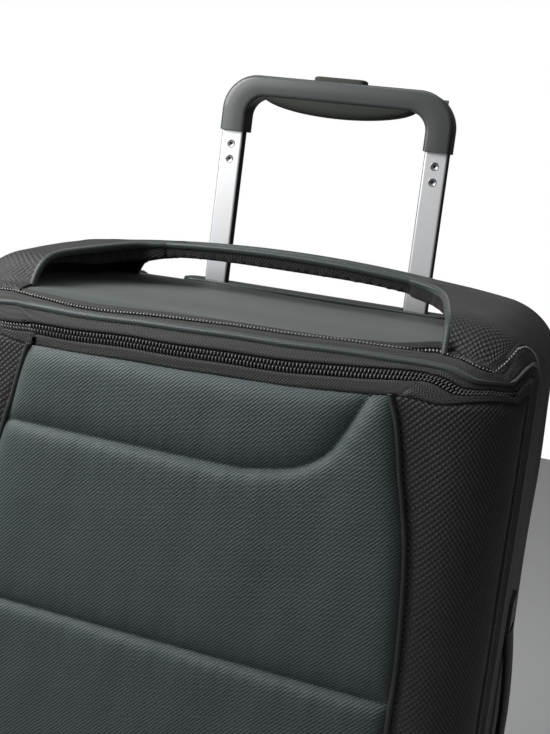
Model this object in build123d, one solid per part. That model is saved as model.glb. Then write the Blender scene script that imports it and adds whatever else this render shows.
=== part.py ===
from build123d import *
import math
import os

# A large expandable softside upright suitcase: padded woven shell on wire hoops, zipped lid
# hinged on its left side, two in-line rear wheels, two front feet, soft carry handles and a
# two-stage trolley with a push button.  Millimetres, +Z up, lid towards -Y, wheels at +Y.
# The origin is on the floor under the middle of the case.

# ---------------------------------------------------------------- driving dimensions
TOP_LEVEL = 735.0          # smooth top panel above the floor
BOTTOM_LEVEL = 24.0        # underside of the case above the floor
HALF_WIDTH = 242.0
FRONT_FACE = -146.0
BACK_FACE = 148.0
HALF_HEIGHT_CENTRE = (TOP_LEVEL + BOTTOM_LEVEL) / 2
HALF_HEIGHT = (TOP_LEVEL - BOTTOM_LEVEL) / 2
FAR = 500.0                # reach of the regions that cut the shell up
WIDE = (-FAR, FAR)
TALL = (-FAR, 2 * FAR)
CORNER_RADIUS = 45.0       # seen from the front
FRONT_ROUND_SIDE = 50.0    # vertical front corners
FRONT_ROUND_TOP = 35.0     # shoulder over the top and bottom front edges
BACK_ROUND = 30.0
DOME_HEIGHT = 40.0         # side panels above the top panel, level with the handle
DOME_FRONT_DROP = 3.0
DOME_START = 0.7           # how steeply the side panels rise behind the front edge
DOME_FULLNESS = 2.8        # and how soon they level out
DOME_BACK_FALL = 0.9       # share of their height lost at the back
FRONT_STEPS = [0.0, 1.0, 4.0, 10.0, 20.0, 35.0, 42.0, 52.0, 66.0, 86.0, 120.0, 168.0]  # sections of the form
BACK_STEPS = [81.0, 55.0, 30.0, 15.0, 6.0, 1.5, 0.0]
WALL = 6.0                 # padded fabric wall
LINING_INSET = 15.0
LINING_TOP_DROP = 20.0
LINING_FRONT = -70.0
LINING_BACK = 112.0
LINING_WALL = 1.2
BAY_CLEARANCE = 3.0        # lining round the wheel bays
BAY_REACH = 40.0
BACK_PANEL_HALF = 205.0
BACK_PANEL_LOW = 90.0
BACK_PANEL_TOP_DROP = 22.0
BOTTOM_PANEL_HALF = 166.0
BOTTOM_PANEL_FRONT = -140.0
BOTTOM_PANEL_TOP = 62.0
PANEL_SEAM = 1.0           # half the gap between right and left halves
OVERCUT = 5.0
STRAP_X = (26.0, 214.0)
STRAP_Y = (108.6, 110.4)
STRAP_Z = (388.0, 412.0)
BUCKLE_HALF = 25.8
BUCKLE_Y = (102.0, 110.4)
BUCKLE_Z = (384.0, 416.0)
SEAM_GAP = 0.4
HOOP_WIRE = 2.0
HOOP_BEND = 32.0
FRONT_HOOP_Y = -77.0
FRONT_HOOP_HALF = 227.5
FRONT_HOOP_ENDS = (13.0, 19.0)
REAR_HOOP_Y = 72.0
REAR_HOOP_HALF = 232.0
REAR_HOOP_ENDS = (10.5, 11.0)
REAR_HOOP_BEND = 12.0

# zipper lines in the side view: far back on the side walls, near the front edge on top
LID_LINE_DROP = 31.0
LID_LINE_SIDE = -92.0
LID_LINE_TOP = -132.0
RING_LINE_TOP = -122.5
RING_LINE_SIDE = -62.0
LINE_BEND = 56.0
RING_LINE_DROP = 20.0
RING_BEND = 70.0
ZIP_SKIN = 2.0
ZIP_TAPE = 9.0
HINGE_ENDS = (96.0, 72.0)  # fabric hinge on the left, from the floor and from the top panel
PROUD_PAD = 9.0            # quilted centre panel in front of the lid face
PANEL_END_GAP = 10.0
PANEL_WAIST = 181.0        # half widths of the centre panel, at mid height and at its ends
PANEL_SHOULDER = 150.0
PANEL_BULGE = (169.0, 71.0)
PANEL_STRAIGHT = 190.0
BOARD_HALF = 184.0
BOARD_ENDS = 44.0
BOARD_THICK = 2.0
BOARD_GAP = 0.3
BOARD_CORNER = 30.0
PANEL_CUT = (20.0, 12.0)   # ahead of and behind the front face
PANEL_CHAMFER = 5.0
CORNER_SPLIT = 60.0
LID_LINING_GAP = 4.0
MOUTH_MARGIN = 3.0
MOUTH_RADIUS = 24.0
MOUTH_DEPTH = 10.0
GUSSET_GAP = 0.6
GUSSET_CLOTH = 1.4
GUSSET_REACH = 12.0

RECESS_HALF = 158.0        # between the domed side panels, at the carry handle
RECESS_HALF_FRONT = 170.0
RECESS_BEND = 12.0         # it starts to widen this far in front of the handle
RECESS_AHEAD = 60.0
RECESS_BEHIND = 30.0
RECESS_DEPTH = 20.0
RECESS_RISE = 100.0
RECESS_SIDE_DEPTH = 40.0
RIM_WIDTH = 5.0
RIM_FOOT = 6.0
RIM_RISE = 60.0
TOP_PANEL_GAP = 0.2
HANDLE_FRONT = 22.0
HANDLE_BACK = 67.0
HANDLE_CREST = 50.0
HANDLE_END_CREST = 40.5
HANDLE_UNDER = 31.0
HANDLE_END_UNDER = 17.0

# trolley
TUBE_X = 105.5
TUBE_Y = 128.0
INNER_TUBE = (23.5, 12.0)
MID_TUBE = (26.7, 15.2)
OUTER_TUBE = (30.1, 18.6)
TUBE_WALL = 1.2
EXTENSION = 158.0          # inner tubes shown above the top panel at rest
INNER_ENGAGED = 75.0
MID_LENGTH = 242.0
OUTER_BOTTOM = 250.0
BEZEL_HALF = 141.0
BEZEL_FRONT = 113.0
BEZEL_RISE = 3.0
BEZEL_DEPTH = 4.0
COLLAR_CLEARANCE = 0.65
COLLAR_DROP = 8.0
SLOT_CLEARANCE = 1.6
TUBE_BORE = (24.3, 12.8)   # through the collars
TUBE_CORNER = 2.6
BORE_CORNER = 1.6
BEZEL_CORNER = 14.0
BRACKET_HALF = 128.0
BRACKET_Y = (117.0, 139.0)
BRACKET_THICK = 16.0
TUBE_IN_GRIP = 18.0

GRIP_HALF = 118.5
GRIP_HEIGHT = 57.0
GRIP_BAND = 21.0
GRIP_RADIUS = 36.0
GRIP_INNER_RADIUS = 15.0
GRIP_FRONT = 117.0
GRIP_SPLIT = 131.0
GRIP_BACK = 143.0
GRIP_LEG = 26.5
GRIP_CHAMFER = 2.5
INSERT_DROP = 14.0
INSERT_HALF = 76.0
INSERT_END = 5.0
SHELL_GAP = 0.02
CROSS_ROOM = (111.0, 124.0, 136.0)
CROSS_DROPS = (16.5, 6.5)
BUTTON_ROOM = (120.7, 139.3)
BUTTON_Y = (121.0, 139.0)
BUTTON_DEPTH = 7.0
BUTTON_CORNER = 6.0
CROSS_BAR = (109.0, 125.5, 130.5)
CROSS_BAR_DROPS = (12.0, 7.0)
ROD_DROP = 47.0
HOUSING_DROPS = (78.0, 43.0)
ROD_BORE_DROP = 67.0
PIN_REACH = (2.2, 11.6)
SPRING_COIL = (3.0, 18.0, 1.8)
SPRING_WIRE = 0.3
SPRING_DROP = 66.3
BUTTON_HALF = 27.0
BUTTON_PROUD = 4.5
ROD_RADIUS = 2.5
PIN_RADIUS = 2.0
PIN_DROP = 71.5
SCREW_HEAD = (4.0, 0.9)
SCREW_DROPS = (13.7, 29.0)

# wheels and feet
WHEEL_RADIUS = 33.0
WHEEL_WIDTH = 24.0
WHEEL_X = 205.0
WHEEL_Y = 121.0
AXLE_RADIUS = 3.0
BEARING_RADIUS = 8.0
HUB_RADIUS = 24.0
RUNNING_CLEARANCE = 0.05
HOUSING_X = (168.0, 244.0)
HOUSING_Y = (84.0, 155.0)
HOUSING_Z = (9.0, 80.0)
HOUSING_EDGE = 26.0
HOUSING_TOE = 20.0
WELL_HALF = 14.5
WELL_CLEARANCE = 4.0
AXLE_HALF = 23.0
HUB_HOLES = (16.0, 4.2)
RACE_HALF = 2.5
SCREW_INSET = 9.0
SCREW_INSET_OUTER = 12.0
SCREW_LENGTH = 18.0
FOOT_X = 165.0
FOOT_Y = -90.0
FOOT_HALF = (24.0, 15.0)
FOOT_CORNER = 12.0
KICK_HALF = 167.8
KICK_FRONT = 104.0
KICK_BACK = 152.0
KICK_THICK = 5.0

SIDE_PROUD = 14.0          # side handle on the right and studs on the left stand this far out
SIDE_HANDLE_Z = 400.0
SIDE_HANDLE_Y = 25.0
SIDE_HANDLE_HALF = 88.0
SIDE_HANDLE_WIDTH = 34.0
SIDE_HANDLE_END = (0.2, 7.0)
SIDE_HANDLE_UNDER = 6.8
ANCHOR_ENDS = (88.2, 116.0)
ANCHOR_HALF = 20.0
ANCHOR_THICK = 6.0
ANCHOR_CORNER = 5.0
STUD_Y = (-35.0, 95.0)
STUD_Z = (150.0, 620.0)
STUD_BASE = (15.0, 6.0)
STUD_NOSE = (11.0, 7.0, 8.0)
SLIDER_MEETING = 410.0
SLIDER_LENGTH = 22.0
TAB_LENGTH = 30.0

FRONT_VIEW = Plane(origin=(0, 0, 0), x_dir=(1, 0, 0), z_dir=(0, -1, 0))
SIDE_VIEW = Plane(origin=(0, 0, 0), x_dir=(0, 1, 0), z_dir=(1, 0, 0))


# ---------------------------------------------------------------- helpers
def block(x, y, z):
    """Box between two limits on each axis."""
    size = (x[1] - x[0], y[1] - y[0], z[1] - z[0])
    return Pos((x[0] + x[1]) / 2, (y[0] + y[1]) / 2, (z[0] + z[1]) / 2) * Box(*size)


def rounded_block(x, y, z, radius):
    """Box whose vertical edges are rounded."""
    shape = block(x, y, z)
    return fillet(shape.edges().filter_by(Axis.Z), radius)


def bar_x(radius, start, end, y, z):
    return Pos((start + end) / 2, y, z) * Rot(0, 90, 0) * Cylinder(radius, abs(end - start))


def bar_y(radius, start, end, x, z):
    return Pos(x, (start + end) / 2, z) * Rot(90, 0, 0) * Cylinder(radius, abs(end - start))


def bar_z(radius, start, end, x, y):
    return Pos(x, y, (start + end) / 2) * Cylinder(radius, abs(end - start))


def mirrored(shape):
    return mirror(shape, Plane.YZ)


def save(node, *solids):
    """Write one node, as one solid or as a group of separate solids."""
    flat = []
    for item in solids:
        flat.extend(item.solids())
    shape = flat[0] if len(flat) == 1 else Compound(children=flat)
    shape.label = node
    export_step(shape, os.path.join("parts", node + ".step"))


# ---------------------------------------------------------------- the case's outer form
def round_in(depth, radius):
    """How far an edge rounded to a radius is set back, at a depth behind the face."""
    if depth >= radius:
        return 0.0
    depth = max(depth, 0.0)
    return radius - math.sqrt(radius ** 2 - (radius - depth) ** 2)


def dome(y):
    """Height of the side panels over the top panel, rising to the carry handle."""
    if y < FRONT_FACE + FRONT_ROUND_TOP:
        return -DOME_FRONT_DROP
    if y <= HANDLE_FRONT:
        share = (y - FRONT_FACE - FRONT_ROUND_TOP) / (HANDLE_FRONT - FRONT_FACE - FRONT_ROUND_TOP)
        climbed = 1 - (1 - share ** DOME_START) ** DOME_FULLNESS
        return (DOME_HEIGHT + DOME_FRONT_DROP) * climbed - DOME_FRONT_DROP
    if y <= HANDLE_BACK:
        return DOME_HEIGHT
    share = (y - HANDLE_BACK) / (BACK_FACE - HANDLE_BACK)
    return DOME_HEIGHT * (1 - DOME_BACK_FALL * share ** 2)


def hull_section(y, inset):
    front = y - FRONT_FACE - inset
    back = BACK_FACE - inset - y
    round_back = round_in(back, BACK_ROUND - inset)
    sides = HALF_WIDTH - inset - round_in(front, FRONT_ROUND_SIDE - inset) - round_back
    over = inset + round_in(front, FRONT_ROUND_TOP - inset) + round_back
    top = TOP_LEVEL + dome(y) - over
    bottom = BOTTOM_LEVEL + over
    place = Plane(origin=(0, y, (top + bottom) / 2), x_dir=(1, 0, 0), z_dir=(0, -1, 0))
    outline = RectangleRounded(2 * sides, top - bottom, CORNER_RADIUS - inset)
    return (place * outline).face().outer_wire()


def hull(inset=0.0):
    """Closed outer form of the whole case, moved inwards by an inset."""
    places = [FRONT_FACE + inset + step for step in FRONT_STEPS]
    places += [BACK_FACE - inset - step for step in BACK_STEPS]
    return Solid.make_loft([hull_section(place, inset) for place in places], ruled=True)


def front_slab(top_line, side_line, upper, bend, offset, open_above):
    """Everything in front of a zipper line drawn in the side view, as a slab across the case."""
    reach = top_line + offset
    side = side_line + offset
    over = FAR if open_above else upper
    points = [(-FAR, over), (reach, over)]
    if open_above:
        points.append((reach, upper))
    points += [(side, upper - bend), (side, bend - upper)]
    if open_above:
        points.append((reach, -upper))
    points += [(reach, -over), (-FAR, -over)]
    outline = make_face(Polyline(*points, close=True))
    slab = extrude(SIDE_VIEW * outline, amount=FAR, both=True)
    return Pos(0, 0, HALF_HEIGHT_CENTRE) * slab


def lid_region(offset=0.0):
    upper = HALF_HEIGHT - LID_LINE_DROP + offset
    return front_slab(LID_LINE_TOP, LID_LINE_SIDE, upper, LINE_BEND, offset, False)


def ring_region(offset=0.0):
    """In front of the expander line, which runs right over the top."""
    return front_slab(RING_LINE_TOP, RING_LINE_SIDE, HALF_HEIGHT - RING_LINE_DROP, RING_BEND, offset, True)


def recess_outline(margin):
    """Plan of the sunk top panel between the domed side panels."""
    half = RECESS_HALF + margin
    front = RECESS_HALF_FRONT + margin
    ahead = RING_LINE_TOP - RECESS_AHEAD
    bend = HANDLE_FRONT - RECESS_BEND
    behind = BACK_FACE + RECESS_BEHIND
    points = [
        (-front, ahead), (front, ahead), (front, RING_LINE_TOP), (half, bend), (half, behind),
        (-half, behind), (-half, bend), (-front, RING_LINE_TOP)]
    return make_face(Polyline(*points, close=True))


def recess_prism(margin, low, high):
    return Pos(0, 0, low) * extrude(recess_outline(margin), amount=high - low)


def wheel_bay(margin):
    x = (HOUSING_X[0] - margin, HOUSING_X[1] + BAY_REACH)
    y = (HOUSING_Y[0] - margin, HOUSING_Y[1] + BAY_REACH)
    z = (HOUSING_Z[0] - BAY_REACH, HOUSING_Z[1] + margin)
    right = block(x, y, z)
    return right + mirrored(right)


# ---------------------------------------------------------------- shell panels
def build_shell():
    outer = hull()
    wall = outer - hull(WALL)
    rear = wall - ring_region(SEAM_GAP)
    rear -= wheel_bay(0)
    rear -= recess_prism(0, TOP_LEVEL - RECESS_DEPTH, TOP_LEVEL + RECESS_RISE)
    past_back = BACK_FACE + OVERCUT
    back_limits = block((-BACK_PANEL_HALF, BACK_PANEL_HALF), (BACK_FACE - WALL - BAY_CLEARANCE, past_back),
                        (BACK_PANEL_LOW, TOP_LEVEL - BACK_PANEL_TOP_DROP))
    bottom_limits = block((-BOTTOM_PANEL_HALF, BOTTOM_PANEL_HALF), (BOTTOM_PANEL_FRONT, past_back),
                          (0, BOTTOM_PANEL_TOP))
    save("back_panel", rear & back_limits)
    save("bottom_panel", (rear - back_limits) & bottom_limits)
    sides = rear - back_limits - bottom_limits
    sides -= block((-RECESS_HALF, RECESS_HALF), (0, past_back),
                   (TOP_LEVEL - RECESS_SIDE_DEPTH, TOP_LEVEL + RECESS_RISE))
    rim = recess_prism(RIM_WIDTH, TOP_LEVEL - RIM_FOOT, TOP_LEVEL + RIM_RISE)
    rim -= recess_prism(0, TOP_LEVEL - 2 * RIM_FOOT, TOP_LEVEL + 2 * RIM_RISE)
    rim = (rim & outer) - ring_region(SEAM_GAP)
    right_half = block((PANEL_SEAM, FAR), WIDE, TALL)
    left_half = block((-FAR, -PANEL_SEAM), WIDE, TALL)
    save("side_panel_right", largest(sides & right_half) + (rim & right_half))
    save("side_panel_left", largest(sides & left_half) + (rim & left_half))
    top = recess_prism(-TOP_PANEL_GAP, TOP_LEVEL - WALL, TOP_LEVEL)
    top &= block(WIDE, (RING_LINE_TOP + SEAM_GAP, BEZEL_FRONT - TOP_PANEL_GAP), TALL)
    save("top_panel", top)
    return outer, wall


def largest(shape):
    return max(shape.solids(), key=lambda solid: solid.volume)


def build_front_section(outer, wall):
    """Ring between the expander zipper and the main zipper, with its wire hoop."""
    ring = (wall & ring_region()) - lid_region(SEAM_GAP)
    mouth_half = HALF_WIDTH - WALL - MOUTH_MARGIN
    mouth_height = 2 * (HALF_HEIGHT - LID_LINE_DROP) + PANEL_SEAM
    mouth = Plane(origin=(0, -FAR, HALF_HEIGHT_CENTRE), x_dir=(1, 0, 0), z_dir=(0, 1, 0))
    mouth = extrude(mouth * RectangleRounded(2 * mouth_half, mouth_height, MOUTH_RADIUS), amount=2 * FAR)
    ring -= mouth & block(WIDE, (-FAR, FRONT_FACE + MOUTH_DEPTH), TALL)
    save("front_ring", largest(ring))
    skin = hull(-ZIP_SKIN) - outer
    main_rear = (skin & lid_region(ZIP_TAPE)) - lid_region(SEAM_GAP)
    main_front = (skin & lid_region()) - lid_region(-ZIP_TAPE)
    hinge_side = block((-FAR, -HALF_WIDTH + WALL), WIDE, (HINGE_ENDS[0], TOP_LEVEL - HINGE_ENDS[1]))
    save("main_zipper_rear", main_rear - hinge_side)
    save("main_zipper_front", main_front - hinge_side)
    expander_rear = (skin & ring_region(ZIP_TAPE)) - ring_region(SEAM_GAP)
    expander_rear -= recess_prism(0, TOP_LEVEL - RECESS_DEPTH, TOP_LEVEL + RECESS_RISE)
    expander_front = (skin & ring_region()) - ring_region(-ZIP_TAPE) - lid_region(ZIP_TAPE + 1)
    save("expander_zipper_rear", expander_rear)
    save("expander_zipper_front", expander_front)
    cloth = hull(WALL + GUSSET_GAP) - hull(WALL + GUSSET_GAP + GUSSET_CLOTH)
    gusset = cloth & ring_region(GUSSET_REACH) - ring_region(SEAM_GAP)
    gusset -= recess_prism(WALL, TOP_LEVEL - RECESS_DEPTH, TOP_LEVEL + RECESS_RISE)
    save("expansion_gusset", gusset)


def hoop(y, half, low, high, top_bend):
    """Closed spring-steel wire hoop parallel to the front."""
    outline = Rectangle(2 * half, high - low)
    outline = fillet(outline.vertices().group_by(Axis.Y)[0], HOOP_BEND)
    outline = fillet(outline.vertices().group_by(Axis.Y)[-1], top_bend)
    place = Plane(origin=(0, y, (low + high) / 2), x_dir=(1, 0, 0), z_dir=(0, -1, 0))
    path = (place * outline).face().outer_wire()
    section = Plane(origin=path @ 0, z_dir=path % 0) * Circle(HOOP_WIRE)
    return sweep(section, path=path)


def build_hoops():
    low = BOTTOM_LEVEL + FRONT_HOOP_ENDS[0]
    high = TOP_LEVEL - FRONT_HOOP_ENDS[1]
    save("front_hoop", hoop(FRONT_HOOP_Y, FRONT_HOOP_HALF, low, high, HOOP_BEND))
    low = BOTTOM_LEVEL + REAR_HOOP_ENDS[0]
    high = TOP_LEVEL - REAR_HOOP_ENDS[1]
    save("rear_hoop", hoop(REAR_HOOP_Y, REAR_HOOP_HALF, low, high, REAR_HOOP_BEND))


def build_linings():
    top = TOP_LEVEL - LINING_TOP_DROP
    limits = block(WIDE, (LINING_FRONT, LINING_BACK), (0, top))
    shape = (hull(LINING_INSET) & limits) - wheel_bay(BAY_CLEARANCE)
    hollow_limits = block(WIDE, (-FAR, LINING_BACK - LINING_WALL), (0, top - LINING_WALL))
    hollow = (hull(LINING_INSET + LINING_WALL) & hollow_limits) - wheel_bay(BAY_CLEARANCE + LINING_WALL)
    save("rear_lining", largest(shape - hollow))
    webbing = block(STRAP_X, STRAP_Y, STRAP_Z)
    save("packing_straps", webbing, mirrored(webbing))
    buckle = rounded_block((-BUCKLE_HALF, BUCKLE_HALF), BUCKLE_Y, BUCKLE_Z, 4)
    save("strap_buckle", buckle)


# ---------------------------------------------------------------- lid
def centre_outline(inset):
    """Front view of the quilted centre panel, narrower at its ends."""
    end = HALF_HEIGHT - LID_LINE_DROP - PANEL_END_GAP
    waist = PANEL_WAIST - inset
    shoulder = PANEL_SHOULDER - inset
    bulge, drop = PANEL_BULGE[0] - inset, end - PANEL_BULGE[1]
    straight = end - PANEL_STRAIGHT
    right = Spline((shoulder, end), (bulge, drop), (waist, straight), (waist, 0))
    lower = Spline((waist, 0), (waist, -straight), (bulge, -drop), (shoulder, -end))
    left = Spline((-shoulder, -end), (-bulge, -drop), (-waist, -straight), (-waist, 0))
    upper = Spline((-waist, 0), (-waist, straight), (-bulge, drop), (-shoulder, end))
    edges = [right, lower, Line((shoulder, -end), (-shoulder, -end)), left, upper,
             Line((-shoulder, end), (shoulder, end))]
    return make_face(edges)


def centre_prism(inset, front, back):
    place = Plane(origin=(0, back, HALF_HEIGHT_CENTRE), x_dir=(1, 0, 0), z_dir=(0, -1, 0))
    return extrude(place * centre_outline(inset), amount=back - front)


def build_lid(wall):
    lid = wall & lid_region()
    middle = centre_prism(0, FRONT_FACE - PANEL_CUT[0], FRONT_FACE + PANEL_CUT[1])
    corners = lid - middle
    corners -= block((-CORNER_SPLIT, CORNER_SPLIT), (-FAR, LID_LINE_SIDE + BOARD_CORNER), TALL)
    right_half = block((PANEL_SEAM, FAR), WIDE, TALL)
    save("lid_corner_right", largest(corners & right_half))
    save("lid_corner_left", largest(corners - right_half))
    pad = centre_prism(BOARD_GAP, FRONT_FACE - PROUD_PAD, FRONT_FACE + WALL)
    pad = chamfer(pad.faces().sort_by(Axis.Y)[0].edges(), PANEL_CHAMFER)
    save("lid_centre_panel", pad)
    board_z = (BOTTOM_LEVEL + BOARD_ENDS, TOP_LEVEL - BOARD_ENDS)
    board_front = FRONT_FACE + WALL + BOARD_GAP
    board = block((-BOARD_HALF, BOARD_HALF), (board_front, board_front + BOARD_THICK), board_z)
    save("lid_board", fillet(board.edges().filter_by(Axis.Y), BOARD_CORNER))
    tray = hull(WALL + LID_LINING_GAP) & lid_region(-ZIP_SKIN)
    hollow = hull(WALL + LID_LINING_GAP + LINING_WALL)
    save("lid_lining", largest(tray - hollow))


# ---------------------------------------------------------------- carry handles, studs
def arch_profile(half, end_top, crest, end_under, under):
    top = ThreePointArc((-half, end_top), (0, crest), (half, end_top))
    low = ThreePointArc((half, end_under), (0, under), (-half, end_under))
    right = Line((half, end_top), (half, end_under))
    left = Line((-half, end_under), (-half, end_top))
    return make_face([top, right, low, left])


def build_carry_handles():
    place = Plane(origin=(0, HANDLE_BACK, TOP_LEVEL), x_dir=(1, 0, 0), z_dir=(0, -1, 0))
    profile = arch_profile(RECESS_HALF, HANDLE_END_CREST, HANDLE_CREST, HANDLE_END_UNDER, HANDLE_UNDER)
    strap = extrude(place * profile, amount=HANDLE_BACK - HANDLE_FRONT)
    save("top_handle", strap)
    start = SIDE_HANDLE_Y - SIDE_HANDLE_WIDTH / 2
    turned = Plane(origin=(HALF_WIDTH, start, SIDE_HANDLE_Z), x_dir=(0, 0, 1), z_dir=(0, 1, 0))
    end_under, end_top = SIDE_HANDLE_END
    side_profile = arch_profile(SIDE_HANDLE_HALF, end_top, SIDE_PROUD, end_under, SIDE_HANDLE_UNDER)
    save("side_handle", extrude(turned * side_profile, amount=SIDE_HANDLE_WIDTH))
    anchors = []
    for sign in (-1, 1):
        z = sorted(SIDE_HANDLE_Z + sign * end for end in ANCHOR_ENDS)
        y = (SIDE_HANDLE_Y - ANCHOR_HALF, SIDE_HANDLE_Y + ANCHOR_HALF)
        plate = block((HALF_WIDTH, HALF_WIDTH + ANCHOR_THICK), y, z)
        anchors.append(fillet(plate.edges().filter_by(Axis.X), ANCHOR_CORNER))
    save("side_handle_anchors", *anchors)


def build_side_studs():
    studs = []
    base_reach = HALF_WIDTH + STUD_BASE[1] / 2
    nose_reach = HALF_WIDTH + STUD_BASE[1] + STUD_NOSE[2] / 2
    for y in STUD_Y:
        for z in STUD_Z:
            base = Pos(-base_reach, y, z) * Rot(0, -90, 0) * Cylinder(*STUD_BASE)
            nose = Pos(-nose_reach, y, z) * Rot(0, -90, 0) * Cone(*STUD_NOSE)
            studs.append(base + nose)
    save("side_studs", *studs)


# ---------------------------------------------------------------- trolley
def tube(size, wall, low, high, side):
    outer = rounded_block((-size[0] / 2, size[0] / 2), (-size[1] / 2, size[1] / 2), (low, high), TUBE_CORNER)
    inner_x = size[0] / 2 - wall
    inner_y = size[1] / 2 - wall
    bore = rounded_block((-inner_x, inner_x), (-inner_y, inner_y), (low - 1, high + 1), BORE_CORNER)
    return Pos(side * TUBE_X, TUBE_Y, 0) * (outer - bore)


def build_trolley_tubes():
    grip_base = TOP_LEVEL + EXTENSION
    for side, name in ((-1, "left"), (1, "right")):
        outer_top = TOP_LEVEL - BEZEL_DEPTH
        save("outer_tube_" + name, tube(OUTER_TUBE, TUBE_WALL, OUTER_BOTTOM, outer_top, side))
        mid_top = TOP_LEVEL - COLLAR_DROP
        save("mid_tube_" + name, tube(MID_TUBE, TUBE_WALL, mid_top - MID_LENGTH, mid_top, side))
        inner = tube(INNER_TUBE, TUBE_WALL, TOP_LEVEL - INNER_ENGAGED, grip_base + TUBE_IN_GRIP, side)
        face = TUBE_Y - INNER_TUBE[1] / 2
        for drop in SCREW_DROPS:
            inner -= bar_y(1.9, TUBE_Y - 12, TUBE_Y, side * TUBE_X, grip_base - drop)
            inner -= bar_y(SCREW_HEAD[0], face - 1, face + SCREW_HEAD[1], side * TUBE_X, grip_base - drop)
        outside = side * (TUBE_X + 15)
        inner -= bar_x(PIN_RADIUS + 0.1, side * TUBE_X, outside, TUBE_Y, TOP_LEVEL - PIN_DROP)
        save("inner_tube_" + name, inner)
    bracket_z = (OUTER_BOTTOM - BRACKET_THICK, OUTER_BOTTOM)
    bracket = rounded_block((-BRACKET_HALF, BRACKET_HALF), BRACKET_Y, bracket_z, 5)
    save("tube_bracket", bracket)


def build_bezel():
    slot = (MID_TUBE[0] + SLOT_CLEARANCE, MID_TUBE[1] + SLOT_CLEARANCE)
    plate = rounded_block((-BEZEL_HALF, BEZEL_HALF), (BEZEL_FRONT, BACK_FACE - 0.5),
                          (TOP_LEVEL - BEZEL_DEPTH, TOP_LEVEL + BEZEL_RISE), BEZEL_CORNER)
    plate = fillet(plate.faces().sort_by(Axis.Z)[-1].edges(), 2)
    collars = []
    through = (TOP_LEVEL - RECESS_DEPTH, TOP_LEVEL + RECESS_DEPTH)
    bore_x, bore_y = TUBE_BORE[0] / 2, TUBE_BORE[1] / 2
    for side in (-1, 1):
        x = (side * TUBE_X - slot[0] / 2, side * TUBE_X + slot[0] / 2)
        y = (TUBE_Y - slot[1] / 2, TUBE_Y + slot[1] / 2)
        plate -= rounded_block(x, y, through, 3.4)
        cap = rounded_block((x[0] + COLLAR_CLEARANCE, x[1] - COLLAR_CLEARANCE),
                            (y[0] + COLLAR_CLEARANCE, y[1] - COLLAR_CLEARANCE),
                            (TOP_LEVEL - COLLAR_DROP, TOP_LEVEL + BEZEL_RISE), 3)
        x = (side * TUBE_X - bore_x, side * TUBE_X + bore_x)
        y = (TUBE_Y - bore_y, TUBE_Y + bore_y)
        bore = rounded_block(x, y, through, 3)
        collars.append(cap - bore)
    save("trolley_bezel", plate)
    save("mid_collars", *collars)


def grip_outline():
    """Front view of the U-shaped grip, legs down."""
    low = TOP_LEVEL + EXTENSION
    high = low + GRIP_HEIGHT
    leg_in = GRIP_HALF - GRIP_LEG
    outer = Rectangle(2 * GRIP_HALF, GRIP_HEIGHT)
    outer = Pos(0, (low + high) / 2) * fillet(outer.vertices().group_by(Axis.Y)[-1], GRIP_RADIUS)
    gap_height = GRIP_HEIGHT - GRIP_BAND
    gap = Rectangle(2 * leg_in, gap_height * 2)
    gap = Pos(0, low) * fillet(gap.vertices().group_by(Axis.Y)[-1], GRIP_INNER_RADIUS)
    return outer - gap


def grip_hollow():
    """Room inside the grip for the tube ends, the cross bar, the rods and the button."""
    low = TOP_LEVEL + EXTENSION
    high = low + GRIP_HEIGHT
    bar_low = high - CROSS_DROPS[0]
    bar_high = high - CROSS_DROPS[1]
    room = block((-CROSS_ROOM[0], CROSS_ROOM[0]), CROSS_ROOM[1:], (bar_low, bar_high))
    half = BUTTON_HALF + 0.3
    room += block((-half, half), BUTTON_ROOM, (bar_high - 5.5, high + 5))
    for side in (-1, 1):
        x = (side * TUBE_X - INNER_TUBE[0] / 2 - 0.05, side * TUBE_X + INNER_TUBE[0] / 2 + 0.05)
        y = (TUBE_Y - INNER_TUBE[1] / 2 - 0.05, TUBE_Y + INNER_TUBE[1] / 2 + 0.05)
        room += block(x, y, (low - 1, low + TUBE_IN_GRIP))
        room += bar_z(4, low, bar_low + 2, side * TUBE_X, TUBE_Y)
    return room


def build_grip():
    low = TOP_LEVEL + EXTENSION
    high = low + GRIP_HEIGHT
    body = extrude(FRONT_VIEW * grip_outline(), amount=200, both=True)
    hollow = grip_hollow()
    front = body & block(WIDE, (GRIP_FRONT, GRIP_SPLIT - SHELL_GAP), TALL)
    rear = body & block(WIDE, (GRIP_SPLIT + SHELL_GAP, GRIP_BACK), TALL)
    front = chamfer(front.faces().sort_by(Axis.Y)[0].outer_wire().edges(), GRIP_CHAMFER)
    rear = chamfer(rear.faces().sort_by(Axis.Y)[-1].outer_wire().edges(), GRIP_CHAMFER)
    save("grip_front", front - hollow)
    save("grip_rear", rear - hollow)
    under = high - GRIP_BAND - 0.1
    place = Plane(origin=(0, GRIP_BACK - 2, under), x_dir=(1, 0, 0), z_dir=(0, -1, 0))
    half, end = INSERT_HALF, -INSERT_END
    under = ThreePointArc((half, end), (0, -INSERT_DROP), (-half, end))
    sag = make_face([Line((-half, 0), (half, 0)), Line((half, 0), (half, end)), under,
                     Line((-half, end), (-half, 0))])
    save("grip_insert", extrude(place * sag, amount=GRIP_BACK - GRIP_FRONT - 4))
    screws = []
    for side in (-1, 1):
        for drop in SCREW_DROPS:
            face = TUBE_Y - INNER_TUBE[1] / 2
            head = bar_y(SCREW_HEAD[0], face, face + SCREW_HEAD[1], side * TUBE_X, low - drop)
            head -= bar_y(1.6, face - 1, face + 0.5, side * TUBE_X, low - drop)
            screws.append(head + bar_y(1.85, face + 0.7, face + 3, side * TUBE_X, low - drop))
    save("grip_screws", *screws)


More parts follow.
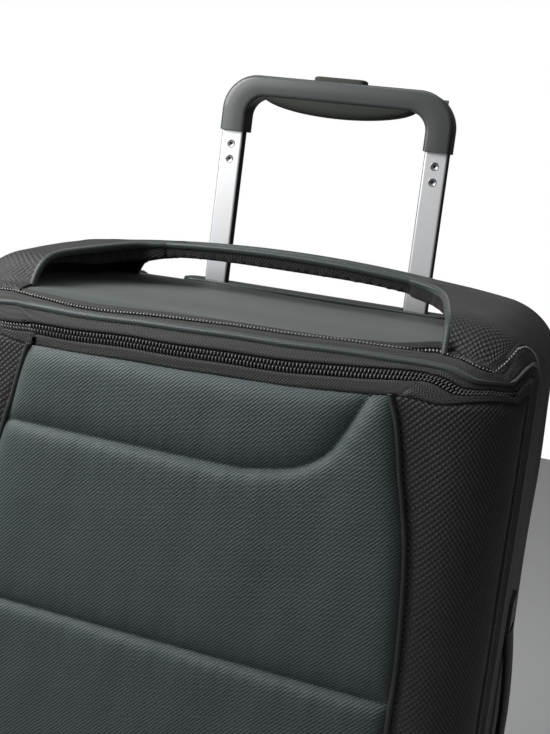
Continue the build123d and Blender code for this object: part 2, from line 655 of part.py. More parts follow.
def build_button():
    high = TOP_LEVEL + EXTENSION + GRIP_HEIGHT
    cap_z = (high - BUTTON_DEPTH, high + BUTTON_PROUD)
    cap = rounded_block((-BUTTON_HALF, BUTTON_HALF), BUTTON_Y, cap_z, BUTTON_CORNER)
    cap = fillet(cap.faces().sort_by(Axis.Z)[-1].edges(), 2)
    save("push_button", cap)
    bar_z_limits = (high - CROSS_BAR_DROPS[0], high - CROSS_BAR_DROPS[1])
    bar = block((-CROSS_BAR[0], CROSS_BAR[0]), CROSS_BAR[1:], bar_z_limits)
    for side in (-1, 1):
        bar += bar_z(ROD_RADIUS, TOP_LEVEL - ROD_DROP, high - 8, side * TUBE_X, TUBE_Y)
    save("push_rods", bar)


def lock_housing(side):
    half_x = INNER_TUBE[0] / 2 - TUBE_WALL
    half_y = INNER_TUBE[1] / 2 - TUBE_WALL
    x = (side * TUBE_X - half_x, side * TUBE_X + half_x)
    y = (TUBE_Y - half_y, TUBE_Y + half_y)
    shape = rounded_block(x, y, (TOP_LEVEL - HOUSING_DROPS[0], TOP_LEVEL - HOUSING_DROPS[1]), 2.2)
    shape -= bar_z(ROD_RADIUS + 0.1, TOP_LEVEL - ROD_BORE_DROP, TOP_LEVEL, side * TUBE_X, TUBE_Y)
    hole = PIN_RADIUS + RUNNING_CLEARANCE
    return shape - bar_x(hole, side * (TUBE_X - 1), side * (TUBE_X + 20), TUBE_Y, TOP_LEVEL - PIN_DROP)


def build_locks():
    save("lock_housings", lock_housing(-1), lock_housing(1))
    for side, name in ((-1, "left"), (1, "right")):
        ends = [side * (TUBE_X + reach) for reach in PIN_REACH]
        pin = bar_x(PIN_RADIUS, *ends, TUBE_Y, TOP_LEVEL - PIN_DROP)
        save("lock_pin_" + name, pin)
    springs = []
    for side in (-1, 1):
        coil = Helix(*SPRING_COIL)
        wire = sweep(Plane(origin=coil @ 0, z_dir=coil % 0) * Circle(SPRING_WIRE), path=coil, is_frenet=True)
        springs.append(Pos(side * TUBE_X, TUBE_Y, TOP_LEVEL - SPRING_DROP) * wire)
    save("return_springs", *springs)


# ---------------------------------------------------------------- wheels and feet
def wheel_housing():
    """Right-hand corner casting with the wheel well open below and behind."""
    shell = block(HOUSING_X, HOUSING_Y, HOUSING_Z)
    outer_edge = shell.edges().filter_by(Axis.Z).sort_by(lambda e: e.center().X + e.center().Y)[-1]
    shell = fillet(outer_edge, HOUSING_EDGE)
    shell = fillet(shell.edges().filter_by(Axis.X).group_by(Axis.Z)[0].sort_by(Axis.Y)[-1], HOUSING_TOE)
    reach = WHEEL_RADIUS + WELL_CLEARANCE
    well_x = (WHEEL_X - WELL_HALF, WHEEL_X + WELL_HALF)
    well = bar_x(reach, *well_x, WHEEL_Y, WHEEL_RADIUS)
    well += block(well_x, (WHEEL_Y - reach, FAR), (-FAR, WHEEL_RADIUS))
    well += block(well_x, (WHEEL_Y, FAR), (-FAR, WHEEL_RADIUS + reach))
    shell -= well
    shell -= bar_x(AXLE_RADIUS, WHEEL_X - AXLE_HALF, WHEEL_X + AXLE_HALF, WHEEL_Y, WHEEL_RADIUS)
    for x in (HOUSING_X[0] + SCREW_INSET, HOUSING_X[1] - SCREW_INSET_OUTER):
        shell -= bar_z(2.0, HOUSING_Z[0] - 1, HOUSING_Z[0] + SCREW_LENGTH + 2, x, HOUSING_Y[0] + SCREW_INSET)
    return shell


def wheel_parts():
    def ring(outer, inner, half):
        outer_bar = bar_x(outer, WHEEL_X - half, WHEEL_X + half, WHEEL_Y, WHEEL_RADIUS)
        return outer_bar - bar_x(inner, WHEEL_X - 30, WHEEL_X + 30, WHEEL_Y, WHEEL_RADIUS)
    half = WHEEL_WIDTH / 2
    tyre = ring(WHEEL_RADIUS, HUB_RADIUS, half)
    tyre = fillet(tyre.edges().filter_by(GeomType.CIRCLE).group_by(SortBy.RADIUS)[-1], 4)
    hub = ring(HUB_RADIUS, BEARING_RADIUS, half - 1)
    for turn in range(5):
        angle = math.radians(72 * turn)
        y = WHEEL_Y + HUB_HOLES[0] * math.cos(angle)
        z = WHEEL_RADIUS + HUB_HOLES[0] * math.sin(angle)
        hub -= bar_x(HUB_HOLES[1], WHEEL_X + 4, WHEEL_X + 20, y, z)
        hub -= bar_x(HUB_HOLES[1], WHEEL_X - 20, WHEEL_X - 4, y, z)
    bearings = []
    for centre in (WHEEL_X - half + 4, WHEEL_X + half - 4):
        race = bar_x(BEARING_RADIUS, centre - RACE_HALF, centre + RACE_HALF, WHEEL_Y, WHEEL_RADIUS)
        race -= bar_x(AXLE_RADIUS + RUNNING_CLEARANCE, centre - 9, centre + 9, WHEEL_Y, WHEEL_RADIUS)
        bearings.append(race)
    axle = bar_x(AXLE_RADIUS, WHEEL_X - AXLE_HALF, WHEEL_X + AXLE_HALF, WHEEL_Y, WHEEL_RADIUS)
    return tyre, hub, bearings, axle


def build_wheels_and_feet():
    housing = wheel_housing()
    tyre, hub, bearings, axle = wheel_parts()
    screws = []
    y = HOUSING_Y[0] + SCREW_INSET
    for x in (HOUSING_X[0] + SCREW_INSET, HOUSING_X[1] - SCREW_INSET_OUTER):
        head = bar_z(3.6, HOUSING_Z[0] - 1.6, HOUSING_Z[0], x, y)
        screws.append(head + bar_z(1.95, HOUSING_Z[0], HOUSING_Z[0] + SCREW_LENGTH, x, y))
    save("wheel_housing_right", housing)
    save("wheel_housing_left", mirrored(housing))
    save("wheel_tyre_right", tyre)
    save("wheel_tyre_left", mirrored(tyre))
    save("wheel_hub_right", hub)
    save("wheel_hub_left", mirrored(hub))
    save("wheel_bearings_right", *bearings)
    save("wheel_bearings_left", *[mirrored(race) for race in bearings])
    save("wheel_axles", axle, mirrored(axle))
    save("housing_screws", *screws, *[mirrored(screw) for screw in screws])
    foot_x = (FOOT_X - FOOT_HALF[0], FOOT_X + FOOT_HALF[0])
    foot_y = (FOOT_Y - FOOT_HALF[1], FOOT_Y + FOOT_HALF[1])
    foot = rounded_block(foot_x, foot_y, (0, BOTTOM_LEVEL), FOOT_CORNER)
    foot = chamfer(foot.faces().sort_by(Axis.Z)[0].edges(), 3)
    save("front_feet", foot, mirrored(foot))
    kick_x = (-KICK_HALF, KICK_HALF)
    rail = block(kick_x, (KICK_FRONT, KICK_BACK), (BOTTOM_LEVEL - KICK_THICK, BOTTOM_LEVEL))
    rail += block(kick_x, (BACK_FACE, KICK_BACK), (BOTTOM_LEVEL - KICK_THICK, BOTTOM_PANEL_TOP))
    rail -= hull()
    save("kick_plate", rail)


# ---------------------------------------------------------------- zipper sliders
def build_sliders():
    """Two sliders meeting nose to nose on the right side, each with a hanging pull tab."""
    face = HALF_WIDTH + ZIP_SKIN + 0.3
    pivot_x = face + 5.4
    line = LID_LINE_SIDE
    for side, name in ((1, "upper"), (-1, "lower")):
        ends = sorted((SLIDER_MEETING + side * 0.3, SLIDER_MEETING + side * SLIDER_LENGTH))
        pivot_z = SLIDER_MEETING + side * (SLIDER_LENGTH - 4)
        body = rounded_block((face, face + 3.4), (line - 6, line + 6), ends, 1.2)
        for ear in (-3.3, 3.3):
            ear_y = (line + ear - 0.8, line + ear + 0.8)
            body += block((face + 3.4, face + 7), ear_y, (pivot_z - 2, pivot_z + 2))
        body += bar_y(0.8, line - 4, line + 4, pivot_x, pivot_z)
        save("slider_" + name, body)
        tab = bar_y(1.7, line - 2.1, line + 2.1, pivot_x, pivot_z)
        tab += block((pivot_x - 0.9, pivot_x + 0.9), (line - 2.1, line + 2.1), (pivot_z - 8, pivot_z))
        tongue_z = (pivot_z - TAB_LENGTH, pivot_z - 7)
        tongue = block((pivot_x - 0.9, pivot_x + 0.9), (line - 5, line + 5), tongue_z)
        tab += fillet(tongue.edges().filter_by(Axis.X), 3)
        tab -= bar_y(0.85, line - 6, line + 6, pivot_x, pivot_z)
        save("pull_tab_" + name, tab)


def main():
    os.makedirs("parts", exist_ok=True)
    outer, wall = build_shell()
    build_front_section(outer, wall)
    build_hoops()
    build_linings()
    build_lid(wall)
    build_carry_handles()
    build_side_studs()
    build_trolley_tubes()
    build_bezel()
    build_grip()
    build_button()
    build_locks()
    build_wheels_and_feet()
    build_sliders()


main()
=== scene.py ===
import math

import bmesh
import bpy
import numpy as np
from mathutils import Matrix, Vector


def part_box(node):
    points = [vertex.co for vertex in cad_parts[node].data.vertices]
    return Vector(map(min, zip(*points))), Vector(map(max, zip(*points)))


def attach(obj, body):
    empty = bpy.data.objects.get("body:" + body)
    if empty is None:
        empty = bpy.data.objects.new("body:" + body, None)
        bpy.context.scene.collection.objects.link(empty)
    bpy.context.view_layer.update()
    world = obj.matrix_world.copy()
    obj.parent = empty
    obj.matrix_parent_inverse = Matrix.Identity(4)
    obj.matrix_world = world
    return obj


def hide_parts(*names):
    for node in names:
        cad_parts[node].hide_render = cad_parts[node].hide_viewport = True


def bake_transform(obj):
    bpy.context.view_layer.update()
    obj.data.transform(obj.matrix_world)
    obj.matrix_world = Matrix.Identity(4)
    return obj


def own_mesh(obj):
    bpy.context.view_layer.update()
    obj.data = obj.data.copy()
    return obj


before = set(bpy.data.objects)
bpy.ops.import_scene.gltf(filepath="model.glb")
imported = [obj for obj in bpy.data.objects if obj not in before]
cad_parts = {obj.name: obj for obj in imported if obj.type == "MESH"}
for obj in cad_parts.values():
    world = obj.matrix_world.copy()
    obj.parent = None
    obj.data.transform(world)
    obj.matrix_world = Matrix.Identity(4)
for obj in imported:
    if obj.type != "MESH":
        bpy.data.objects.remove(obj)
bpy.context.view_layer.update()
MM = 0.001


def low(node, axis):
    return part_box(node)[0][axis] / MM


def high(node, axis):
    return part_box(node)[1][axis] / MM


# ---------------------------------------------------------------- sizes in millimetres, from the frame
TOP = high("top_panel", 2)
BOTTOM = low("bottom_panel", 2)
HALF = high("side_panel_right", 0)
FRONT = low("lid_corner_right", 1)
BACK = high("back_panel", 1)
MIDDLE = (TOP + BOTTOM) / 2
CORNER = 45.0
ROUND_SIDE = 50.0
ROUND_TOP = 35.0
ROUND_BACK = 30.0
CORNER_LENGTH = CORNER * math.pi / 2
HALF_TOP = HALF - CORNER   # half of the straight runs between the corners
HALF_SIDE = (TOP - BOTTOM) / 2 - CORNER
DOME = 40.0
DOME_DROP = 3.0
DOME_START = 0.06          # the side panels rise steeply over this share of the way back
DOME_SHARE = 0.74          # to this share of their height, then slowly
DOME_FALL = 36.0           # they sink again over this length behind the carry handle
COVE = 6.0                 # the sunk panel turns up into its side walls
STRAP_FRONT = low("top_handle", 1)
STRAP_BACK = high("top_handle", 1)
STRAP_CREST = high("top_handle", 2) - TOP - 4.5
FLARE = 40.0               # length over which the handle widens into the side panels behind
STRAP_FALL = 0.00037       # the handle's crest drops by this times x squared
STRAP_UNDER = 31.0
STRAP_END = high("top_handle", 0)
STRAP_HALF = 118.0         # half length of its straight part
PANEL_GAP = 1.2            # the panels start this far behind the expander line
SIDE_START = 158.0         # where the side panels begin on the top run
UNDER_END = 160.0          # and where they end underneath
BACK_HALF = 206.0
BACK_LOW = 58.0
WHEEL_BAY = (170, 87, 77)  # each housing fills its corner beyond this x, behind this y and below this z
LINING_BAY = (162, 78, 86)
BEZEL_FRONT = low("trolley_bezel", 1)
TUBE_BACK = high("outer_tube_right", 1)
LINE_SIDE = -59.0          # expander line on the side walls
LINE_TOP = -125.4          # and over the top and bottom
LINE_LENGTH = 62.0         # it bends from one to the other over this length of the corner
SHOULDER = FRONT + ROUND_TOP            # depth where the rounding of the top's front edge ends
LINE_TURN = math.asin((SHOULDER - LINE_TOP) / ROUND_TOP)   # angle of the expander line on it
# how the soft front edge wanders over the top: depth of the line by x, then how far over the shoulder each
# row lies
BOW = [(-240, 0), (-190, -3), (-137, -6.5), (-109, -6.9), (-82, -6.1), (-48, -3.4), (-15, -1.1),
       (27, 1.6), (67, 3.9), (106, 7.7), (137, 10.2), (159, 13.6), (178, 14.6), (194, 9.9), (210, 4.2),
       (225, 1), (240, 0)]
PIPING_RUN = [(-240, 13), (-180, 16.5), (-137, 16.7), (-107, 16.3), (-78, 15.6), (-43, 14.3), (-9, 13.1),
              (32, 11.5), (72, 10.1), (111, 8.4), (142, 7.7), (164, 7.5), (183, 7.9), (198, 9.2),
              (213, 11), (240, 12)]
COIL_RUN = [(-240, 32), (-180, 34.5), (-127, 34.2), (-99, 33), (-73, 32.2), (-38, 31.8), (-4, 31),
            (37, 29.4), (77, 27.2), (116, 23.8), (145, 20.4), (167, 18.5), (185, 17.9), (200, 18.7),
            (215, 21), (240, 26)]
END_RUN = [(-240, 45.6), (-180, 47.6), (-125, 47.6), (-98, 47), (-71, 46.5), (-36, 45.9), (-2, 45.1),
           (40, 43.6), (80, 41.9), (118, 38.9), (148, 35.4), (170, 33), (188, 30.8), (202, 29.2),
           (217, 31), (240, 38)]
# the same rows on the upright sides and underneath
SIDE_PIPING = 10.0
SIDE_COIL = 32.0
SIDE_END = 45.6
COIL_PITCH = 2.9
EXPANDER_PITCH = 2.8
WAIST = 181.0              # half width of the quilted centre panel
SPRING_TURNS = 6
SPRING_RADIUS = 1.8
SPRING_WIRE = 0.3
GRIP_TOP = high("grip_front", 2)
GRIP_LOW = low("grip_front", 2)
GRIP_LEG = 26.5            # width of the grip's legs
GRIP_BAR = 21.0            # and height of its bar
GRIP_ROUND = (36, 19)      # outer and inner corners
INSERT_HALF = 76.0
INSERT_DEPTH = 13.6
SCREW_DROPS = (13.7, 29.0)
TUBE_X = (high("inner_tube_right", 0) + low("inner_tube_right", 0)) / 2
STITCH_LENGTH = 2.6
STITCH_RADIUS = 0.42
SEAM_LEVELS = (-263.0, -448.0)          # straight quilting seams, below the top panel
CAMERA_TURN = (18.31, 6.50, 7.21)       # yaw, pitch and roll in degrees, from the photograph
CAMERA_PLACE = (0.3033, -0.904, 0.8408)
CAMERA_LENS = 52.43
CAMERA_SHIFT = -0.0777
SKY_LEAN = (-0.45, -0.25, 0.85)         # the surroundings are brightest this way
LAMPS = [("key", (-0.62, -0.46, 1.2), (0.0, -0.15, 0.66), 0.5, 11.0),      # place, target, size, power
         ("top", (-0.1, -0.1, 2.0), (0, 0, 0.7), 0.9, 4),
         ("front", (-1.2, -1.9, 1.2), (0, 0, 0.6), 0.8, 1.5)]


# ---------------------------------------------------------------- mesh helpers
def new_object(name, points, faces, material, uv):
    """Mesh object from points in millimetres; uv is per point, in metres along the cloth."""
    mesh = bpy.data.meshes.new(name)
    mesh.from_pydata((np.asarray(points, float) * MM).tolist(), [], [list(f) for f in faces])
    layer = mesh.uv_layers.new(name="UVMap")
    index = np.zeros(len(mesh.loops), np.int32)
    mesh.loops.foreach_get("vertex_index", index)
    layer.data.foreach_set("uv", np.asarray(uv, np.float32)[index].ravel())
    mesh.polygons.foreach_set("use_smooth", [True] * len(mesh.polygons))
    mesh.materials.append(material)
    mesh.validate()
    obj = bpy.data.objects.new(name, mesh)
    bpy.context.scene.collection.objects.link(obj)
    return obj


def grid_faces(rows, cols, wrap_rows=False, wrap_cols=False):
    """Quads over a grid of points, row by row."""
    row = np.arange(rows if wrap_rows else rows - 1)
    col = np.arange(cols if wrap_cols else cols - 1)
    r, c = np.meshgrid(row, col, indexing="ij")
    r2 = (r + 1) % rows
    c2 = (c + 1) % cols
    quads = np.stack([r * cols + c, r2 * cols + c, r2 * cols + c2, r * cols + c2], -1)
    return quads.reshape(-1, 4).tolist()


def end_caps(rows, cols):
    """Faces that close the first and last ring of a tube."""
    return [list(range(cols))[::-1], [(rows - 1) * cols + c for c in range(cols)]]


def run_along(path):
    """Distance travelled at each point of a path."""
    return np.concatenate([[0], np.cumsum(np.linalg.norm(np.diff(path, axis=0), axis=1))])


def at_run(where, run, values):
    """Values along a path at some distances along it."""
    return np.stack([np.interp(where, run, values[:, k]) for k in range(values.shape[1])], 1)


def lengths(points, axis):
    """Distance travelled over a grid of points along one axis."""
    step = np.linalg.norm(np.diff(points, axis=axis), axis=2)
    total = np.cumsum(step, axis=axis)
    pad = [(0, 0), (0, 0)]
    pad[axis] = (1, 0)
    return np.pad(total, pad)


def surface(name, points, material, wrap_rows=False, wrap_cols=False, flip=False, thick=0.0, uv=None):
    """Smooth sheet over a grid of points [rows, cols, 3]."""
    rows, cols = points.shape[:2]
    if uv is None:
        along = lengths(points, 0)
        across = lengths(points, 1)
        along = along - along[rows // 2][None, :]
        across = across - across[:, cols // 2][:, None]
        uv = np.stack([across, along], -1)
    faces = grid_faces(rows, cols, wrap_rows, wrap_cols)
    if flip:
        faces = [f[::-1] for f in faces]
    obj = new_object(name, points.reshape(-1, 3), faces, material, uv.reshape(-1, 2) * MM)
    if thick:
        shell = obj.modifiers.new("thickness", "SOLIDIFY")
        shell.thickness = thick * MM
        shell.offset = -1
    return obj


def unit(vectors):
    return vectors / np.maximum(np.linalg.norm(vectors, axis=-1, keepdims=True), 1e-9)


def path_frames(path, closed=False, up=(0, 0, 1)):
    """Side and up vectors along a path."""
    ahead = np.roll(path, -1, 0) - np.roll(path, 1, 0)
    if not closed:
        ahead[0] = path[1] - path[0]
        ahead[-1] = path[-1] - path[-2]
    tangent = unit(ahead)
    side = unit(np.cross(tangent, np.asarray(up, float)))
    return side, np.cross(side, tangent)


def sweep(name, path, side, up, profile, material, closed=False):
    """Sweep a closed profile [(side, up), ...] along a path with given side and up vectors."""
    profile = np.asarray(profile, float)
    up = np.broadcast_to(np.asarray(up, float), path.shape)
    points = path[:, None] + side[:, None] * profile[None, :, :1] + up[:, None] * profile[None, :, 1:]
    rows, cols = points.shape[:2]
    faces = grid_faces(rows, cols, closed, True)
    if not closed:
        faces += end_caps(rows, cols)
    uv = np.stack(np.broadcast_arrays(run_along(profile)[None, :], run_along(path)[:, None]), -1)
    return new_object(name, points.reshape(-1, 3), faces, material, uv.reshape(-1, 2) * MM)


def circle(radius, steps=14):
    angle = np.linspace(0, 2 * math.pi, steps, endpoint=False)
    return np.stack([radius * np.cos(angle), radius * np.sin(angle)], 1)


def smooth_curve(points, count):
    """Even points along a Catmull-Rom curve through a few given ones."""
    p = np.asarray(points, float)
    p = np.vstack([2 * p[0] - p[1], p, 2 * p[-1] - p[-2]])
    dense = []
    for i in range(1, len(p) - 2):
        t = np.linspace(0, 1, 40, endpoint=False)[:, None]
        a, b, c, d = p[i - 1], p[i], p[i + 1], p[i + 2]
        square, cube = 2 * a - 5 * b + 4 * c - d, 3 * b - a - 3 * c + d
        dense.append(0.5 * (2 * b + (c - a) * t + square * t ** 2 + cube * t ** 3))
    dense = np.vstack(dense + [p[-2][None]])
    return resample(dense, count)


def resample(path, count):
    run = run_along(path)
    return at_run(np.linspace(0, run[-1], count), run, path)


def ease(t):
    t = np.clip(t, 0, 1)
    return t * t * (3 - 2 * t)


def ripple(points, size, seed=0):
    """Gentle unevenness, a sum of a few slow waves, for fabric."""
    rng = np.random.default_rng(100 + seed)
    total = np.zeros(points.shape[:-1])
    for _ in range(7):
        direction = unit(rng.normal(size=3))
        wave = rng.uniform(0.7, 1.6) * 2 * math.pi / size
        total += np.sin(points @ direction * wave + rng.uniform(0, 6.28)) / 7
    return total * 1.6


def grid_normals(points):
    du = np.gradient(points, axis=0)
    dv = np.gradient(points, axis=1)
    return unit(np.cross(du, dv))


def slab(name, outline, start, end, bevel_start, bevel_end, material, steps=4):
    """Plate with rounded edges: a closed outline [(x, y), ...] between two heights."""
    outline = np.asarray(outline, float)
    ahead = unit(np.roll(outline, -1, 0) - outline)
    behind = unit(outline - np.roll(outline, 1, 0))
    normal = unit(np.stack([(ahead + behind)[:, 1], -(ahead + behind)[:, 0]], 1))
    area = np.sum(outline[:, 0] * np.roll(outline[:, 1], -1) - np.roll(outline[:, 0], -1) * outline[:, 1])
    if area < 0:
        normal = -normal
    turns = [math.pi / 2 * k / steps for k in range(steps + 1)]
    rings = [(start + bevel_start * (1 - math.sin(t)), bevel_start * (1 - math.cos(t))) for t in turns[::-1]]
    rings += [(end - bevel_end * (1 - math.sin(t)), bevel_end * (1 - math.cos(t))) for t in turns]
    points = np.array([np.hstack([outline - normal * inset, np.full((len(outline), 1), height)])
                       for height, inset in rings])
    rows, cols = points.shape[:2]
    faces = grid_faces(rows, cols, False, True) + end_caps(rows, cols)
    return new_object(name, points.reshape(-1, 3), faces, material, points[..., :2].reshape(-1, 2) * MM)


def rounded_rect(half_x, low_v, high_v, radius, steps=10):
    points = []
    corners = [(half_x - radius, high_v - radius, 0), (-half_x + radius, high_v - radius, 90),
               (-half_x + radius, low_v + radius, 180), (half_x - radius, low_v + radius, 270)]
    for x, v, start in corners:
        for k in range(steps + 1):
            angle = math.radians(start + 90 * k / steps)
            points.append((x + radius * math.cos(angle), v + radius * math.sin(angle)))
    return points


# ---------------------------------------------------------------- materials
def srgb(*values):
    linear = [(v / 255 / 12.92) if v <= 10 else ((v / 255 + 0.055) / 1.055) ** 2.4 for v in values]
    return (*linear, 1.0)


class Shader:
    """A node material built from a few maths and pattern nodes."""

    def __init__(self, name):
        self.material = bpy.data.materials.new(name)
        self.material.use_nodes = True
        self.nodes = self.material.node_tree.nodes
        self.links = self.material.node_tree.links
        self.surface = self.nodes["Principled BSDF"]

    def set(self, name, value):
        if isinstance(value, bpy.types.NodeSocket):
            self.links.new(value, self.surface.inputs[name])
        else:
            self.surface.inputs[name].default_value = value

    def math(self, kind, *values):
        node = self.nodes.new("ShaderNodeMath")
        node.operation = kind
        for k, value in enumerate(values):
            if isinstance(value, bpy.types.NodeSocket):
                self.links.new(value, node.inputs[k])
            else:
                node.inputs[k].default_value = value
        return node.outputs[0]

    def coordinates(self, kind):
        split = self.nodes.new("ShaderNodeSeparateXYZ")
        self.links.new(self.nodes.new("ShaderNodeTexCoord").outputs[kind], split.inputs[0])
        return split.outputs

    def noise(self, scale, detail=3.0, stretch=None):
        node = self.nodes.new("ShaderNodeTexNoise")
        node.inputs["Scale"].default_value = scale
        node.inputs["Detail"].default_value = detail
        place = self.nodes.new("ShaderNodeTexCoord").outputs["Object"]
        if stretch:
            mapping = self.nodes.new("ShaderNodeMapping")
            mapping.inputs["Scale"].default_value = stretch
            self.links.new(place, mapping.inputs[0])
            place = mapping.outputs[0]
        self.links.new(place, node.inputs["Vector"])
        return node.outputs[0]

    def mix(self, factor, first, second):
        node = self.nodes.new("ShaderNodeMix")
        node.data_type = "RGBA"
        for socket, value in ((node.inputs[0], factor), (node.inputs[6], first), (node.inputs[7], second)):
            if isinstance(value, bpy.types.NodeSocket):
                self.links.new(value, socket)
            else:
                socket.default_value = value
        return node.outputs[2]

    def bump(self, height, distance, strength=1.0):
        node = self.nodes.new("ShaderNodeBump")
        node.inputs["Strength"].default_value = strength
        node.inputs["Distance"].default_value = distance
        self.links.new(height, node.inputs["Height"])
        self.links.new(node.outputs[0], self.surface.inputs["Normal"])


def wave(shader, value, pitch, shift=0.0):
    """0 to 1 cosine along a coordinate in metres."""
    turns = shader.math("MULTIPLY", value, 2 * math.pi / pitch)
    turned = shader.math("ADD", turns, shift)
    return shader.math("MULTIPLY_ADD", shader.math("COSINE", turned), 0.5, 0.5)


def fabric(name, dark, light, pattern, pitch, depth=0.00025, rough=0.75, sheen=0.15, mottle=0.25):
    """Cloth whose threads run in real size along the UVs."""
    s = Shader(name)
    u, v = s.coordinates("UV")[:2]
    if pattern == "weave":
        wide = s.math("COSINE", s.math("MULTIPLY", u, 2 * math.pi / pitch))
        high = s.math("COSINE", s.math("MULTIPLY", v, 2 * math.pi / pitch))
        height = s.math("POWER", s.math("MULTIPLY_ADD", s.math("MULTIPLY", wide, high), 0.5, 0.5), 1.8)
    elif pattern == "twill":
        slope = s.math("SUBTRACT", v, u)
        ribs = wave(s, slope, pitch)
        dashes = wave(s, s.math("ADD", u, s.math("MULTIPLY", slope, 3.0)), pitch * 1.7)
        height = s.math("MULTIPLY", ribs, s.math("MULTIPLY_ADD", dashes, 0.4, 0.6))
    elif pattern == "chevron":
        zigzag = s.math("PINGPONG", u, 0.0034)
        height = wave(s, s.math("ADD", v, s.math("MULTIPLY", zigzag, 1.3)), pitch)
    elif pattern == "rib":
        ribs = wave(s, v, pitch)
        height = s.math("MULTIPLY", ribs, s.math("MULTIPLY_ADD", wave(s, u, pitch * 0.8), 0.3, 0.7))
    else:
        crossed = s.math("MULTIPLY", wave(s, u, pitch), wave(s, v, pitch, 1.6))
        height = s.math("MULTIPLY_ADD", crossed, 0.8, 0.1)
    patchy = s.noise(38.0, 4.0)
    # Colour follows the thread height: lighter on the thread tops and darker in the hollows, partly the
    # cloth's own pattern and partly a painted highlight on the tops and painted shade between the threads.
    base = s.mix(height, srgb(*dark), srgb(*light))
    shade = s.math("MULTIPLY_ADD", s.math("SUBTRACT", patchy, 0.5), mottle, 0.0)
    shaded = s.mix(s.math("ADD", shade, 0.12), base, srgb(*light))
    s.set("Base Color", shaded)
    s.set("Roughness", s.math("MULTIPLY_ADD", patchy, 0.15, rough - 0.07))
    s.surface.inputs["Sheen Weight"].default_value = sheen
    s.surface.inputs["Sheen Roughness"].default_value = 0.4
    fuzz = s.noise(900.0, 2.0)
    s.bump(s.math("MULTIPLY_ADD", fuzz, 0.35, height), depth)
    return s.material


def moulded(name, colour, rough=0.45, grain=0.00008, coat=0.0, tint=None, scale=900.0):
    s = Shader(name)
    speckle = s.noise(scale, 2.0)
    wear = s.noise(22.0, 4.0)
    other = tint or tuple(min(255, round(c * 1.18 + 3)) for c in colour)
    s.set("Base Color", s.mix(wear, srgb(*colour), srgb(*other)))
    s.set("Roughness", s.math("MULTIPLY_ADD", speckle, 0.14, rough - 0.07))
    s.surface.inputs["Coat Weight"].default_value = coat
    s.bump(speckle, grain, 0.6)
    return s.material


def metal(name, colour, rough=0.25, stretch=(1, 1, 40), grain=0.00003):
    s = Shader(name)
    brushed = s.noise(60.0, 4.0, stretch)
    other = tuple(round(c * 0.9) for c in colour)
    s.set("Base Color", s.mix(brushed, srgb(*colour), srgb(*other)))
    s.set("Metallic", 1.0)
    s.set("Roughness", s.math("MULTIPLY_ADD", brushed, 0.16, rough - 0.06))
    s.bump(brushed, grain, 0.5)
    return s.material


def tube_metal():
    """Satin aluminium on the wide faces; the narrow sides and the edges are darker, a painted shade of
    near-black colour with little metal.
    """
    s = Shader("tube_aluminium")
    sideways = s.math("ABSOLUTE", s.coordinates("Normal")[0])
    side = s.math("MULTIPLY", s.math("SUBTRACT", sideways, 0.35), 1.9)
    edge = s.math("MINIMUM", s.math("MAXIMUM", side, 0.0), 1.0)
    brushed = s.noise(70.0, 4.0, (30, 1, 1))
    bright = s.mix(brushed, srgb(240, 242, 244), srgb(226, 229, 232))
    # painted shade: faces turned along x are coloured near-black and lose most of their metal
    s.set("Base Color", s.mix(edge, bright, srgb(34, 36, 38)))
    s.set("Metallic", s.math("MULTIPLY_ADD", edge, -0.45, 0.5))
    s.set("Roughness", s.math("MULTIPLY_ADD", brushed, 0.14, 0.32))
    s.bump(brushed, 0.00002, 0.5)
    return s.material


TWILL = fabric("twill_cloth", (47, 56, 56), (79, 90, 91), "twill", 0.0032, 0.0003, 0.62, 0.25)
WEAVE = fabric("basket_weave_cloth", (7, 8, 7), (50, 53, 51), "weave", 0.0049, 0.0007, 0.6, 0.1)
SMOOTH = fabric("smooth_cloth", (53, 61, 59), (72, 80, 77), "plain", 0.0011, 0.0001, 0.66, 0.25, 0.35)
MESH_CLOTH = fabric("mesh_cloth", (6, 7, 7), (50, 53, 50), "weave", 0.0032, 0.0008, 0.85, 0.05)
TAPE = fabric("herringbone_tape", (16, 17, 16), (64, 66, 63), "chevron", 0.0027, 0.0003, 0.75, 0.05)
PIPING = fabric("piping_cloth", (32, 40, 40), (64, 74, 73), "rib", 0.0013, 0.00012, 0.45, 0.35)
PIPING_DARK = fabric("seam_piping", (19, 23, 22), (42, 48, 46), "rib", 0.0012, 0.0001, 0.5, 0.3)
LINING = fabric("lining_cloth", (64, 68, 70), (92, 97, 100), "plain", 0.0012, 0.00008, 0.55, 0.3)
WEBBING = fabric("strap_webbing", (16, 17, 17), (40, 42, 42), "rib", 0.0017, 0.0003, 0.7, 0.2)
# SHADOW: near-black cloth under the zipper teeth and in the gaps beside them, partly the zippers' own dark
# tape and partly a painted shadow.
SHADOW = fabric("gap_cloth_painted_shadow", (6, 7, 7), (15, 16, 16), "plain", 0.0015, 0.0001, 0.9, 0.0)
COIL = moulded("zipper_coil", (66, 68, 66), 0.32, 0.00004, tint=(92, 94, 92))
DOT = moulded("expander_coil", (128, 130, 126), 0.4, 0.00004, tint=(160, 162, 158))
BLACK = moulded("moulded_black", (22, 23, 24), 0.5, 0.0001)
GLOSSY = moulded("satin_bezel", (54, 62, 60), 0.24, 0.00001, 0.3, tint=(62, 70, 68), scale=300.0)
GRIP = moulded("grip_plastic", (66, 71, 70), 0.38, 0.00005, 0.15, tint=(76, 82, 81))
GRIP_SOFT = moulded("soft_grip", (46, 49, 44), 0.75, 0.00015, tint=(60, 64, 57))
RUBBER = moulded("tyre_rubber", (24, 24, 25), 0.8, 0.0001)
BOARD = moulded("stiffening_board", (30, 31, 32), 0.7, 0.0001)
TUBE = tube_metal()
STEEL = metal("steel", (172, 174, 176), 0.3)
ZIP_METAL = metal("slider_metal", (70, 72, 74), 0.35, (1, 1, 8))


